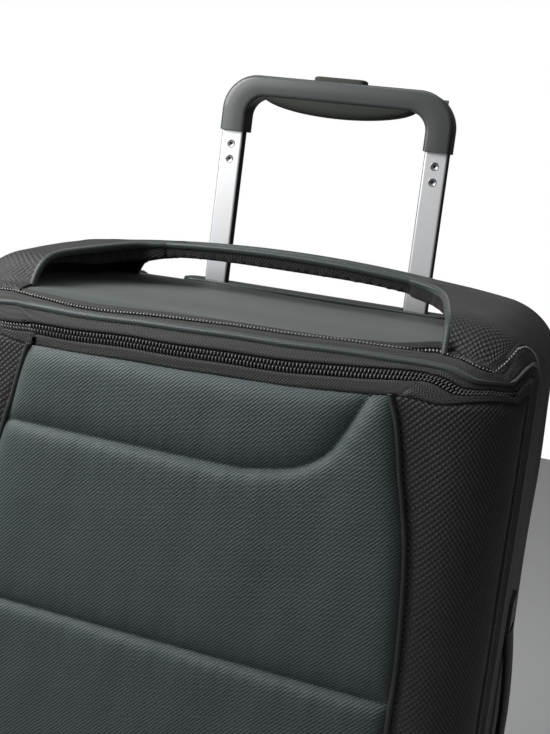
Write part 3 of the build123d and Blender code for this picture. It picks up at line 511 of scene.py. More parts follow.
# ---------------------------------------------------------------- the soft hull
def round_in(depth, radius):
    """How far a rounded edge lies in at a depth from its start."""
    depth = np.clip(depth, 0, radius)
    return radius - np.sqrt(np.maximum(radius ** 2 - (radius - depth) ** 2, 0))


def dome(y):
    """Height of the side domes above the sunk panel at a depth."""
    y = np.asarray(y, float)
    rise = np.clip((y - SHOULDER) / (STRAP_FRONT - SHOULDER), 0, 1)
    steep = DOME_SHARE * (1 - np.exp(-rise / DOME_START))
    front = -DOME_DROP + (DOME + DOME_DROP) * (steep + (1 - DOME_SHARE) * rise)
    fall = np.clip((y - STRAP_BACK) / DOME_FALL, 0, 1)
    return np.where(y > STRAP_BACK, DOME * (1 - ease(fall)), front)


def dome_share(y):
    """Height of the domes at a depth, as a share of their full height."""
    return np.clip(dome(y), 0, DOME) / DOME


def end_drop(y):
    """How far the front and back roundings take the top down at a depth."""
    return round_in(y - FRONT, ROUND_TOP) + round_in(BACK - y, ROUND_BACK)


def along_top(points, x):
    """Value at x of a smooth line through given points."""
    curve = smooth_curve(points, 300)
    return np.interp(x, curve[:, 0], curve[:, 1])


def line_at(distance, x):
    """Depth of the expander line: distance is from a corner's upright end, x bows it on the top run."""
    share = ease(np.asarray(distance) / LINE_LENGTH)
    return LINE_SIDE + (LINE_TOP - LINE_SIDE) * share + along_top(BOW, x) * share


def shoulder_run(y):
    """Distance over the front shoulder from where the expander line would lie if it were straight."""
    depth = SHOULDER - np.asarray(y, float)
    turn = np.where(depth > 0, np.arcsin(np.clip(depth / ROUND_TOP, 0, 1)), depth / ROUND_TOP)
    return (turn - LINE_TURN) * ROUND_TOP


class Station:
    """One column of the hull: its share of each section's width and height, and its corner angle."""

    def __init__(self, a, b, nx, nz, corner, distance):
        self.a, self.b, self.nx, self.nz = a, b, nx, nz
        self.corner = corner          # -1 on a straight run
        self.distance = distance      # from the nearest corner's upright end, along the top run


def station_columns(stations):
    """The shares and corner directions of all stations, as columns."""
    return (np.array([getattr(s, k) for s in stations], float)[:, None] for k in ("a", "b", "nx", "nz"))


def hull_points(a, b, nx, nz, y, inset=0.0, spread=1):
    """Points on the hull at depths y; a higher spread keeps the middle columns straight at the front."""
    y = np.asarray(y, float)
    front = y - FRONT - inset
    back = BACK - inset - y
    round_back = round_in(back, ROUND_BACK - inset)
    width = HALF - inset - round_in(front, ROUND_SIDE - inset) - round_back
    over = inset + round_in(front, ROUND_TOP - inset) + round_back
    top = TOP + dome(y) - over
    low = BOTTOM + over
    centre = (top + low) / 2
    half = (top - low) / 2
    r = CORNER - inset
    x = a * (HALF - inset - r) - a * np.abs(a) ** (spread - 1) * (HALF - inset - width) + r * nx
    z = centre + b * (half - r) + r * nz
    return np.stack(np.broadcast_arrays(x, y, z), -1)


def loop_stations(step=7.0, corner_steps=13):
    """Columns round the case: up the left side, over the top, down the right side, back under."""
    stations = []
    straight_z = int((TOP - BOTTOM - 2 * CORNER) / step)
    straight_x = int((2 * HALF - 2 * CORNER) / step)

    def straight(count, make):
        for k in range(count):
            stations.append(make(-1 + 2 * (k + 0.5) / count))

    def turn(index, a, b, start):
        for k in range(corner_steps):
            angle = math.radians(start - 90 * k / (corner_steps - 1))
            share = k / (corner_steps - 1)
            into = share if index in (0, 2) else 1 - share
            stations.append(Station(a, b, math.cos(angle), math.sin(angle), index, into * CORNER_LENGTH))

    straight(straight_z, lambda t: Station(-1, t, -1, 0, -1, -(1 - abs(t)) * HALF_SIDE))
    turn(0, -1, 1, 180)
    straight(straight_x, lambda t: Station(t, 1, 0, 1, -1, CORNER_LENGTH + (1 - abs(t)) * HALF_TOP))
    turn(1, 1, 1, 90)
    straight(straight_z, lambda t: Station(1, -t, 1, 0, -1, -(1 - abs(t)) * HALF_SIDE))
    turn(2, 1, -1, 0)
    straight(straight_x, lambda t: Station(-t, -1, 0, -1, -1, CORNER_LENGTH + (1 - abs(t)) * HALF_TOP))
    turn(3, -1, -1, -90)
    return stations


class Band:
    """Positions on the front shoulder, measured forwards from the expander line, at every station."""

    def __init__(self, stations):
        self.stations = stations
        a, b, nx, nz = station_columns(stations)
        distance = np.array([s.distance for s in stations], float)
        self.line = line_at(distance, (a * HALF_TOP + CORNER * nx)[:, 0])
        side = np.linspace(-20, FRONT + 36, 60)
        front = FRONT + ROUND_TOP * np.linspace(1, 0, 70)[1:] ** 2
        y = np.concatenate([side, front])
        self.outer = len(y)           # after these the points turn in behind the flat front
        self.points = hull_points(a, b, nx, nz, np.broadcast_to(y, (len(stations), len(y))), spread=6)
        edge = self.points[:, -1]
        inward = -np.concatenate([nx, 0 * nx, nz], 1)
        inner = np.linspace(1, 90, 60)
        more = edge[:, None] + inward[:, None] * inner[None, :, None]
        self.points = np.concatenate([self.points, more], 1)
        self.over = np.concatenate([shoulder_run(y), shoulder_run(FRONT) + inner])
        run = lengths(self.points, 1)
        self.q = np.empty_like(run)
        for i in range(len(stations)):
            self.q[i] = run[i] - np.interp(-self.line[i], -self.points[i, :len(y), 1], run[i, :len(y)])
        ahead = np.gradient(self.points, axis=1)
        around = np.roll(self.points, -1, 0) - np.roll(self.points, 1, 0)
        self.normals = unit(np.cross(around, ahead))
        centre = np.array([0, 0, MIDDLE])
        if np.sum(self.normals * (self.points - centre), -1).mean() < 0:
            self.normals = -self.normals

    def row(self, table, elsewhere):
        """Distance forward of the line for one row: by its table on the top run, one value elsewhere."""
        rows = np.full(len(self.stations), float(elsewhere))
        for i, station in enumerate(self.stations):
            if station.nz <= 0:
                continue
            gap = self.over - along_top(table, self.points[i, :, 0])
            k = np.nonzero(gap >= 0)[0][0]
            t = gap[k] / (gap[k] - gap[k - 1])
            q = self.q[i, k] + (self.q[i, k - 1] - self.q[i, k]) * t
            share = ease(station.distance / CORNER_LENGTH)
            rows[i] = elsewhere + (q - elsewhere) * share
        return rows

    def at(self, q, lift=0.0):
        """Points and normals at distance q forward of the line; q and lift may vary by station."""
        q = np.broadcast_to(q, (len(self.stations),))
        lift = np.broadcast_to(lift, q.shape)
        out = np.empty((len(q), 3))
        normal = np.empty((len(q), 3))
        for i in range(len(q)):
            out[i] = at_run(q[i:i + 1], self.q[i], self.points[i])[0]
            normal[i] = at_run(q[i:i + 1], self.q[i], self.normals[i])[0]
        normal = unit(normal)
        return out + normal * lift[:, None], normal


STATIONS = loop_stations()
BAND = Band(STATIONS)
COUNT = len(STATIONS)
SIDE_COUNT = sum(1 for s in STATIONS if s.corner == -1 and s.nz == 0) // 2
ALL = np.arange(COUNT)
HINGE = np.arange(3, SIDE_COUNT - 3)
ZIPPED = (np.arange(COUNT - SIDE_COUNT + 8) + SIDE_COUNT - 4) % COUNT
LOOP = BAND.at(0.0)[0]
Q_PIPING = BAND.row(PIPING_RUN, SIDE_PIPING)
Q_COIL = BAND.row(COIL_RUN, SIDE_COIL)
Q_END = BAND.row(END_RUN, SIDE_END)
LOOP_RUN = run_along(LOOP)
SWAY = 0.35 * np.sin(LOOP_RUN / 31.0) + 0.25 * np.sin(LOOP_RUN / 13.3 + 1.0)


def band_piece(name, profile, material, body, picks=ALL, sway=1.0, closed_profile=True):
    """Strip round the front section: profile is [(q, lift), ...], q a number or a value for every station."""
    columns = [BAND.at(q + sway * SWAY, lift)[0][picks] for q, lift in profile]
    points = np.stack(columns, 1)
    rows, cols = points.shape[:2]
    closed = len(picks) == COUNT
    faces = grid_faces(rows, cols, closed, closed_profile)
    if closed_profile and not closed:
        faces.append(list(range(cols)))
        faces.append([(rows - 1) * cols + c for c in range(cols)][::-1])
    across = np.stack([np.broadcast_to(q, COUNT)[picks] for q, _ in profile], 1)
    along = LOOP_RUN[picks]
    uv = np.stack(np.broadcast_arrays(across, along[:, None]), -1)
    obj = new_object(name, points.reshape(-1, 3), faces, material, uv.reshape(-1, 2) * MM)
    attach(obj, body)
    return obj


def round_profile(q, lift, radius, steps=12):
    angle = np.linspace(0, 2 * math.pi, steps, endpoint=False)
    return [(q + radius * math.cos(t), lift + radius * math.sin(t)) for t in -angle]


def flat_profile(start, end, lift, thick, steps=5):
    """Closed tape section with rounded edges; steps points on top follow the curved shoulder."""
    e = min(0.45, thick / 2)
    top = [(start + e + (end - start - 2 * e) * k / steps, lift + thick) for k in range(steps + 1)]
    under = [(end - (end - start) * k / steps, lift) for k in range(steps + 1)]
    return [(start, lift + e)] + top + [(end, lift + e)] + under


def capsule(length, radius, around=8):
    """Rod along x with rounded ends, as points and faces."""
    half, shoulder = length / 2, length / 2 - radius * 0.5
    rings = [(-half, 0.35), (-shoulder, 0.85), (0, 1.0), (shoulder, 0.85), (half, 0.35)]
    points = []
    for x, share in rings:
        for k in range(around):
            angle = 2 * math.pi * k / around
            points.append((x, radius * share * math.cos(angle), radius * share * math.sin(angle)))
    return np.array(points), grid_faces(len(rings), around, False, True) + end_caps(len(rings), around)


def repeat(name, base, faces, places, ax, ay, az, material):
    """One mesh of many copies of a small piece, each with its own axes."""
    points = (places[:, None] + base[None, :, :1] * ax[:, None] + base[None, :, 1:2] * ay[:, None]
              + base[None, :, 2:] * az[:, None])
    many = [[i + k * len(base) for i in f] for k in range(len(places)) for f in faces]
    return new_object(name, points.reshape(-1, 3), many, material, np.zeros((points.size // 3, 2)))


def teeth(name, q, pitch, base, shift, lift, material, body, picks):
    """A row of small rounded teeth along the band."""
    path, normal = BAND.at(q + SWAY, lift)
    ahead, _ = BAND.at(q + 1 + SWAY, lift)
    across = unit(ahead - path)
    closed = len(picks) == COUNT
    index = np.append(picks, picks[0]) if closed else picks
    run = run_along(path[index])
    where = np.arange(pitch * shift, run[-1], pitch)
    place = at_run(where, run, path[index])
    up = unit(at_run(where, run, normal[index]))
    side = unit(at_run(where, run, across[index]))
    points, faces = capsule(*base)
    obj = repeat(name, points, faces, place, side, up, np.cross(side, up), material)
    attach(obj, body)
    return obj


def build_bands():
    """The expander zipper, the piping and the main zipper round the front section."""
    share = np.linspace(0, 1, 12)
    # The ring base and the cloth strips under both coils are near-black SHADOW cloth: painted shadow in the
    # gaps between and under the teeth.
    base = band_piece("front_ring_cloth", [(-0.5 + (Q_COIL - 1.5) * t, -1.2) for t in share], SHADOW,
                      "front_section", closed_profile=False, sway=0)
    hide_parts("front_ring")
    rear_tape = band_piece("main_zipper_rear_tape", flat_profile(Q_PIPING + 1.5, Q_COIL - 4.9, 0.3, 1.6),
                           TAPE, "front_section")
    piping = band_piece("expander_piping", round_profile(Q_PIPING, 1.6, 3.15), PIPING, "front_section")
    tape = band_piece("expander_zipper_front_tape", flat_profile(1.9, Q_PIPING - 1.5, -0.3, 1.2), TAPE,
                      "front_section")
    rear = band_piece("expander_zipper_rear_tape", flat_profile(-7.5, -1.9, -0.3, 1.2), TAPE, "root")
    dots = teeth("expander_zipper_front_coil", 0.35, EXPANDER_PITCH, (1.9, 0.8), 0.0, 1.5, DOT,
                 "front_section", ALL)
    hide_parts("expander_zipper_front")
    rear_dots = teeth("expander_zipper_rear_coil", -0.5, EXPANDER_PITCH, (1.7, 0.6), 0.5, 0.6, COIL,
                      "root", ALL)
    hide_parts("expander_zipper_rear")
    under = band_piece("main_zipper_rear_cloth", flat_profile(Q_COIL - 5.5, Q_COIL - 0.2, -0.9, 0.8),
                       SHADOW, "front_section",
                       ZIPPED)
    coil = teeth("main_zipper_rear_coil", Q_COIL - 1.9, COIL_PITCH, (3.6, 0.8), 0.0, 0.9, COIL,
                 "front_section", ZIPPED)
    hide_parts("main_zipper_rear")
    front = band_piece("main_zipper_front_cloth", flat_profile(Q_COIL + 0.2, Q_COIL + 5.5, -0.9, 0.8),
                       SHADOW, "lid", ZIPPED)
    front_coil = teeth("main_zipper_front_coil", Q_COIL + 1.9, COIL_PITCH, (3.6, 0.8), 0.5, 0.9, COIL,
                       "lid", ZIPPED)
    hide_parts("main_zipper_front")
    lower = band_piece("main_zipper_front_tape", flat_profile(Q_COIL + 4.6, Q_END, 0.0, 1.7), TAPE, "lid",
                       ZIPPED)
    stitches = teeth("front_tape_stitches", Q_END - 2.0, 3.6, (0.5, 0.35), 0.3, 1.7, PIPING_DARK, "lid",
                     ZIPPED)


def build_hinge():
    """Cloth hinge down the left side, from the ring to the lid."""
    points = np.stack([BAND.at(q, 0.4)[0][HINGE] for q in np.linspace(20, Q_END[HINGE[0]], 26)], 1)
    obj = surface("lid_hinge_cloth", points, TAPE, thick=0.9)
    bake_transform(obj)


def build_gusset():
    """The cloth that unfolds when the expander zipper is opened."""
    reach = np.linspace(-5, 4, 13)
    points = np.stack([BAND.at(q, -1.6)[0] for q in reach], 1)
    obj = surface("expansion_gusset_cloth", points, SMOOTH, wrap_rows=True)
    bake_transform(obj)
    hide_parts("expansion_gusset")


# ---------------------------------------------------------------- lid
PANEL_CORNER = 148.6       # half width of the centre panel where it meets the zipper tape
PANEL_SIDE = smooth_curve([(PANEL_CORNER, -33), (155, -49), (160, -70), (164, -91), (169, -112), (176, -151),
                           (WAIST, -222), (WAIST, -290), (WAIST, BOTTOM / 2 - TOP / 2)], 200)
LID_TOP = TOP - 26.0
LID_LOW = BOTTOM + 33.0


def shoulder_height(run):
    """Height below the top panel of a point this far over the front shoulder from the expander line."""
    turn = LINE_TURN + run / ROUND_TOP
    low = ROUND_TOP + (turn - math.pi / 2) * ROUND_TOP
    round_part = ROUND_TOP * (1 - np.cos(np.minimum(turn, math.pi / 2)))
    return DOME_DROP + np.where(turn < math.pi / 2, round_part, low)


def lid_edge(x):
    """Height of the centre panel's top edge, just under the zipper tape."""
    return TOP - shoulder_height(along_top(END_RUN, x) - 1.2)


def panel_half(z):
    """Half width of the centre panel at a height, the same above and below the middle."""
    return np.interp((TOP - MIDDLE) - np.abs(z - MIDDLE), -PANEL_SIDE[:, 1], PANEL_SIDE[:, 0])


def front_depth(z):
    """Depth of the front shoulder at a height, on the flat part of the width."""
    drop = (TOP - DOME_DROP - MIDDLE) - np.abs(z - MIDDLE)
    low_drop = (MIDDLE - BOTTOM) - np.abs(z - MIDDLE)
    drop = np.where(z > MIDDLE, drop, low_drop)
    inner = np.clip(ROUND_TOP - drop, 0, ROUND_TOP)
    return SHOULDER - np.sqrt(np.maximum(ROUND_TOP ** 2 - inner ** 2, 0))


def seam_lines():
    """The four quilting seams as (x, z): a curved one at each end, the same above and below, two straight."""
    end = 190.0
    first = smooth_curve([(-end, -110), (-60, -110.5), (30, -110), (58, -107), (86, -100), (107, -86),
                          (120, -65), (132, -39), (139, -22)], 260)
    second, third = (np.array([(-end, level), (end, level)]) for level in SEAM_LEVELS)
    last = first.copy()
    last[:, 1] = BOTTOM - TOP - last[:, 1]
    lines = []
    for line in (first, second, third, last):
        line = resample(line, 260)
        line[:, 1] += TOP
        lines.append(line)
    return lines


def signed_distance(x, z, line):
    """Distance to a line running left to right, positive above it, and the position along it."""
    flat = np.stack([x.ravel(), z.ravel()], 1)
    best = np.full(len(flat), 1e9)
    index = np.zeros(len(flat), int)
    for k in range(len(line)):
        d = (flat[:, 0] - line[k, 0]) ** 2 + (flat[:, 1] - line[k, 1]) ** 2
        closer = d < best
        best[closer] = d[closer]
        index[closer] = k
    ahead = np.gradient(line, axis=0)[index]
    off = flat - line[index]
    cross = ahead[:, 0] * off[:, 1] - ahead[:, 1] * off[:, 0]
    length = np.maximum(np.linalg.norm(ahead, axis=1), 1e-6)
    side = cross / length
    distance = np.sqrt(np.maximum(best, 0))
    distance = np.where(distance < 3, np.abs(side), distance) * np.sign(side)
    return distance.reshape(x.shape), (index / len(line)).reshape(x.shape)


def puff(distance, gentle=11.0, steep=3.2):
    """Share of full padding at a signed distance from a seam: soft above, steep below."""
    above = 1 - np.exp(-np.maximum(distance, 0) / gentle)
    below = 1 - np.exp(-np.maximum(-distance, 0) / steep) * (1 + 0.3 * np.maximum(-distance, 0) / steep)
    return np.where(distance >= 0, above, below)


def build_centre_panel():
    """The quilted panel: base sheet, padding that sinks at the seams and edges, and threads."""
    rows, cols = 430, 230
    z_path = LID_TOP + (LID_LOW - LID_TOP) * np.linspace(0, 1, 2000)
    path = np.stack([front_depth(z_path), z_path], 1)
    path = resample(path, rows)
    z = np.repeat(path[:, 1:2], cols, 1)
    y = np.repeat(path[:, :1], cols, 1)
    u = np.linspace(-1, 1, cols)[None, :]
    u = u * (1.35 - 0.35 * np.abs(u))
    x = u * panel_half(z)
    base = np.stack([x, y, z], -1)
    normal = grid_normals(base)
    if normal[rows // 2, cols // 2, 1] > 0:
        normal = -normal
    edge = panel_half(z) - np.abs(x)
    end = np.minimum(lid_edge(x) - z, z - LID_LOW + 4)
    pad = (1 - np.exp(-edge / 6.0)) * (1 - np.exp(-np.maximum(end, 0) / 7.0))
    tucked = 1.8 * (1 - np.clip((end + 1) / 2, 0, 1))
    crease = np.zeros_like(x)
    seams = seam_lines()
    for number, line in enumerate(seams):
        distance, along = signed_distance(x, z, line)
        pad *= 0.1 + 0.9 * puff(distance)
        waves = np.sin(along * 2 * math.pi * 21 + number) * np.sin(along * 2 * math.pi * 7.3 + 2 * number)
        crease += waves * np.exp(-np.abs(distance) / 13.0) * np.minimum(np.abs(distance) / 6, 1)
    side_waves = np.sin(z / 9.0) * np.sin(z / 31.0 + 1)
    crease += 0.6 * side_waves * np.exp(-edge / 10.0) * np.minimum(edge / 4, 1)
    sag = ripple(base, 140.0, 3)
    fine = ripple(base, 45.0, 4)
    height = 0.4 - tucked + 8.2 * pad + 0.55 * crease * pad + 0.8 * sag * pad + 0.35 * fine * pad
    points = base + normal * height[..., None]
    run = lengths(points, 0)
    uv = np.stack([x, -run + run[rows // 2].mean()], -1)
    obj = surface("lid_centre_panel_quilt", points, TWILL, flip=True, uv=uv)
    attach(obj, "lid")
    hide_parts("lid_centre_panel")
    for number, line in enumerate(seams):
        across = np.abs(line[:, 0]) < panel_half(line[:, 1]) - 4
        line = line[across & (line[:, 1] < LID_TOP - 3) & (line[:, 1] > LID_LOW + 3)]
        path = np.stack([line[:, 0], front_depth(line[:, 1]) - 1.3, line[:, 1]], 1)
        thread = stitch_line(f"quilt_seam_{number}", path, (0, -1, 0), 4.0)
        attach(thread, "lid")


def stitch_line(name, path, normal, pitch):
    run = run_along(path)
    where = np.arange(pitch / 2, run[-1], pitch)
    place = at_run(where, run, path)
    ahead = unit(at_run(where + 1, run, path) - place + 1e-6)
    up = np.broadcast_to(np.asarray(normal, float), place.shape)
    side = unit(np.cross(ahead, up))
    points, faces = capsule(STITCH_LENGTH, STITCH_RADIUS, 6)
    return repeat(name, points, faces, place, ahead, side, np.cross(ahead, side), PIPING_DARK)


def panel_edge(sign, count=300):
    """The line of the vertical piping, top to bottom."""
    z = np.linspace(lid_edge(sign * PANEL_CORNER), LID_LOW, count)
    half = panel_half(z)
    return np.stack([sign * half, front_depth(z), z], 1)


def build_lid_corners():
    """Woven panels beside the quilt, from the zipper tape over the shoulder, and their piping."""
    for sign, side in ((1, "right"), (-1, "left")):
        picks = [i for i, s in enumerate(STATIONS)
                 if sign * s.nx > 0.01 or (abs(s.nx) <= 0.01 and sign * s.a * HALF_TOP > 146)]
        picks = sorted(picks, key=lambda i: i if sign > 0 else (i + COUNT // 2) % COUNT)
        edge_path = panel_edge(sign)
        first = BAND.at(Q_END - 1.5, -0.3)[0]
        if first[picks[0]][2] < first[picks[-1]][2]:
            edge_path = edge_path[::-1]
        run = run_along(first[picks])
        share = run / run[-1]
        edge_run = run_along(edge_path)
        inner = at_run(share * edge_run[-1], edge_run, edge_path)
        rows = []
        for k, i in enumerate(picks):
            flat_q = np.interp(-(FRONT + 0.02), -BAND.points[i, :BAND.outer, 1], BAND.q[i, :BAND.outer])
            qs = np.linspace(Q_END[i] - 1.5, max(flat_q, Q_END[i]), 16)
            column = at_run(qs, BAND.q[i], BAND.points[i])
            to = np.linspace(0, 1, 15)[1:, None]
            flat = column[-1] * (1 - to) + inner[k] * to
            rows.append(resample(np.vstack([column, flat]), 34))
        points = np.array(rows)
        normal = grid_normals(points)
        if normal[len(picks) // 2, 16, 0] * sign < 0:
            normal = -normal
        across = np.linspace(0, 1, 34)[None, :, None]
        swell = np.minimum(1, np.minimum(across, 1 - across) * 6)
        points = points + normal * swell * (1.2 + 0.9 * ripple(points, 90.0, 5)[..., None])
        turned = np.array([(STATIONS[i].nx ** 2, STATIONS[i].nz ** 2) for i in picks])
        depth = points[..., 1] - FRONT
        uv = np.stack([sign * points[..., 0] + depth * turned[:, :1],
                       points[..., 2] + depth * turned[:, 1:]], -1)
        obj = surface(f"lid_corner_{side}_cloth", points, WEAVE, flip=sign > 0, uv=uv)
        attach(obj, "lid")
        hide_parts(f"lid_corner_{side}")
        path = panel_edge(sign, 400) + np.array([0, -2.2, 0])
        out, _ = path_frames(path, up=(0, -1, 0))
        piping = sweep(f"panel_piping_{side}", path, out, (0, -1, 0), circle(2.1, 12), PIPING_DARK)
        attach(piping, "lid")


# ---------------------------------------------------------------- side, top, back and bottom panels
RIM = smooth_curve([(179, -126), (178, -112), (176, -100), (172, -82), (166, -55), (160, -25), (158.3, 0),
                    (158, 22), (164, 67), (180, 88), (188, 108), (189, 128), (182, 150)], 300)
RIM_ARC = smooth_curve([(179, -126), (178, -112), (176, -100), (172, -82), (166, -55), (159, -25),
                        (151, -2), (138, 14), (118, 22)], 400)


def recess_half(y):
    """Half width of the sunk top panel: it widens towards the front."""
    return np.interp(y, RIM[:, 1], RIM[:, 0])


CAVITY = smooth_curve([(179, -126), (179, -114), (182, -100), (188, -80), (194, -50), (196, -20),
                       (199, 30), (208, 70), (213, 95), (208, 125), (190, 150)], 300)


def cavity_half(y):
    """Half width of the sunk floor, which runs on under the overhanging edges of the side panels."""
    return np.interp(y, CAVITY[:, 1], CAVITY[:, 0])


def recess_edge(y):
    """Half width at the rim, which curves in to meet the carry handle's edges."""
    y = np.asarray(y, float)
    order = np.argsort(RIM_ARC[:, 1])
    ahead = np.interp(y, RIM_ARC[order, 1], RIM_ARC[order, 0])
    near = np.clip(((STRAP_BACK + FLARE) - y) / FLARE, 0, 1)
    flare = 1 - np.sqrt(np.maximum(1 - near ** 2, 0))
    behind = recess_half(y) - (recess_half(STRAP_BACK) - STRAP_HALF) * flare
    return np.where(y < STRAP_FRONT, ahead, np.where(y < STRAP_BACK, STRAP_HALF, behind))


def strap_under(x):
    """Height of the carry handle's underside above the top panel."""
    return STRAP_UNDER - 13 * (np.minimum(np.abs(x), 160) / STRAP_END) ** 4


def rim_height(x, y):
    """Height of the dome and of the handle that carries it on."""
    return TOP + dome(y) - end_drop(y) + (STRAP_CREST - DOME - STRAP_FALL * x ** 2) * dome_share(y)


def crest_fall(points, share):
    """Points lifted by a share of what the domes owe to the falling line of the carry handle."""
    extra = (STRAP_CREST - DOME - STRAP_FALL * points[..., 0] ** 2) * dome_share(points[..., 1])
    return np.concatenate([points[..., :2], (points[..., 2] + extra * share)[..., None]], -1)


def side_column(kind, t, sign, steps):
    """One column of a side panel: from the expander line to the back, then inwards behind the back panel."""
    a = 1.0
    if kind == "top":
        distance = CORNER_LENGTH + (1 - t) * (HALF_TOP - SIDE_START)
        x = SIDE_START + t * (HALF_TOP - SIDE_START)
        b, nx, nz, lift = 1.0, 0.0, 1.0, 1.0
    elif kind == "up":
        angle = math.pi / 2 * (1 - t)
        distance, x = (1 - t) * CORNER_LENGTH, HALF_TOP + CORNER * math.cos(angle)
        b, nx, nz, lift = 1.0, math.cos(angle), math.sin(angle), math.sin(angle)
    elif kind == "side":
        distance, x = -(1 - abs(1 - 2 * t)) * HALF_SIDE, HALF
        b, nx, nz, lift = 1 - 2 * t, 1.0, 0.0, 0.0
    elif kind == "down":
        angle = -math.pi / 2 * t
        distance, x = t * CORNER_LENGTH, HALF_TOP + CORNER * math.cos(angle)
        b, nx, nz, lift = -1.0, math.cos(angle), math.sin(angle), 0.0
    else:
        distance = CORNER_LENGTH + t * (HALF_TOP - UNDER_END)
        x = HALF_TOP + t * (UNDER_END - HALF_TOP)
        b, nx, nz, lift = -1.0, 0.0, -1.0, 0.0
    start = line_at(distance, sign * x) + PANEL_GAP
    y = start + (BACK - start) * steps
    flat = HALF - round_in(y - FRONT, ROUND_SIDE) - round_in(BACK - y, ROUND_BACK) - CORNER
    if kind == "top":
        edge = recess_edge(y)
        a = (edge + (flat - edge) * t) / flat
    elif kind == "under":
        a = 1 + (UNDER_END / flat - 1) * t
    column = crest_fall(hull_points(a, b, nx, nz, y), lift)
    inward = unit(np.array([-nx, 0.0, -nz]))
    column = np.vstack([column, column[-1] + inward * np.linspace(2, 24, 8)[:, None]])
    column[:, 0] *= sign
    return column


def recess_wall(sign):
    """Wall from a dome's edge down to the sunk floor: a soft overhanging edge with small folds under it."""
    y = LINE_TOP + 12 + (BACK - 8 - LINE_TOP - 12) * np.linspace(0, 1, 260)
    edge = recess_edge(y)
    wide = cavity_half(y)
    top = rim_height(edge, y)
    floor = TOP - 0.8 - end_drop(y)
    foot = np.minimum(top - 0.3, floor + COVE * (1 - ease((y + 40) / 80)) * dome_share(y))
    band = 8 + 12 * ease((y + 90) / 100)
    wall = []
    for k in range(len(y)):
        reach = wide[k] - edge[k]
        tall = top[k] - foot[k]
        low_side = min(top[k] - 0.3 * tall, max(TOP + strap_under(edge[k]), top[k] - band[k]))
        section = [(0, 0), (0.8, (top[k] - low_side) * 0.6), (1.2, top[k] - low_side)]
        for share in (0.15, 0.4, 0.65, 0.85, 0.94):
            ceiling = min(low_side - 3 * share, TOP + strap_under(edge[k] + reach * share))
            section.append((1.2 + reach * share, min(top[k] - ceiling, tall * (0.55 + 0.3 * share))))
        section += [(reach, tall * 0.88), (reach, tall)]
        curve = smooth_curve(section, 44)
        t = np.linspace(0, 1, len(curve))
        folds = 1.2 * np.sin(y[k] / 1.9 + 1.4 * math.sin(y[k] / 21))
        fold = folds * np.exp(-((t - 0.12) / 0.07) ** 2) * min(1, tall / 30)
        out = edge[k] + 0.4 + curve[:, 0] + fold
        wall.append(np.stack([sign * out, np.full_like(t, y[k]), top[k] - curve[:, 1]], 1))
    return np.array(wall).transpose(1, 0, 2)


def build_side_panels():
    """Woven side panels with their domes, and the walls down to the sunk top panel."""
    steps = np.concatenate([np.linspace(0, 0.12, 10), np.linspace(0.13, 0.78, 110), np.linspace(0.8, 1, 22)])
    columns = [("top", t) for t in np.linspace(0, 1, 10)]
    seam = len(columns) - 1               # last column before the corner
    for kind, count in (("up", 22), ("side", 100), ("down", 16), ("under", 8)):
        columns += [(kind, t) for t in np.linspace(0, 1, count)[1:]]
    for sign, side in ((1, "right"), (-1, "left")):
        points = np.array([side_column(kind, t, sign, steps) for kind, t in columns])
        normal = grid_normals(points)
        if normal[60, 40, 0] * sign < 0:
            normal = -normal
        rows, cols = points.shape[:2]
        across = np.minimum(np.arange(cols), cols - 1 - np.arange(cols)) / 12
        down = np.minimum(np.arange(rows), rows - 1 - np.arange(rows)) / 8
        hold = np.minimum(1, across)[None, :] * np.minimum(1, down)[:, None]
        uneven = 0.8 + 1.3 * ripple(points, 210.0, 8) + 0.6 * ripple(points, 60.0, 9)
        points = points + normal * (hold * uneven)[..., None]
        girth = lengths(points, 0)
        run = lengths(points, 1)
        zero = np.array([np.interp(0, points[k, :140, 1], run[k, :140]) for k in range(rows)])
        down_run = girth - girth[seam][None, :] + np.abs(points[seam, :, 0])[None, :]
        down_run[:seam] = np.abs(points[:seam, :, 0])
        obj = surface(f"side_panel_{side}_cloth", points, WEAVE, flip=sign > 0, thick=2.0,
                      uv=np.stack([run - zero[:, None], down_run], -1))
        cut_wheel_bay(obj, sign)
        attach(obj, "root")
        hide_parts(f"side_panel_{side}")
        lining = surface(f"recess_wall_{side}", recess_wall(sign), MESH_CLOTH, flip=sign < 0, thick=1.0)
        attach(lining, "root")


def in_bay(x, y, z, bay):
    """Whether points lie in the corner that a wheel housing fills."""
    return (x > bay[0]) & (y > bay[1]) & (z < bay[2])


def cut_wheel_bay(obj, sign):
    """Takes away the faces that lie inside the wheel housing."""
    mesh = obj.data
    centre = np.array([p.center for p in mesh.polygons]) / MM
    inside = in_bay(centre[:, 0] * sign, centre[:, 1], centre[:, 2], WHEEL_BAY)
    work = bmesh.new()
    work.from_mesh(mesh)
    work.faces.ensure_lookup_table()
    gone = [work.faces[i] for i in np.nonzero(inside)[0]]
    bmesh.ops.delete(work, geom=gone, context="FACES")
    work.to_mesh(mesh)
    work.free()


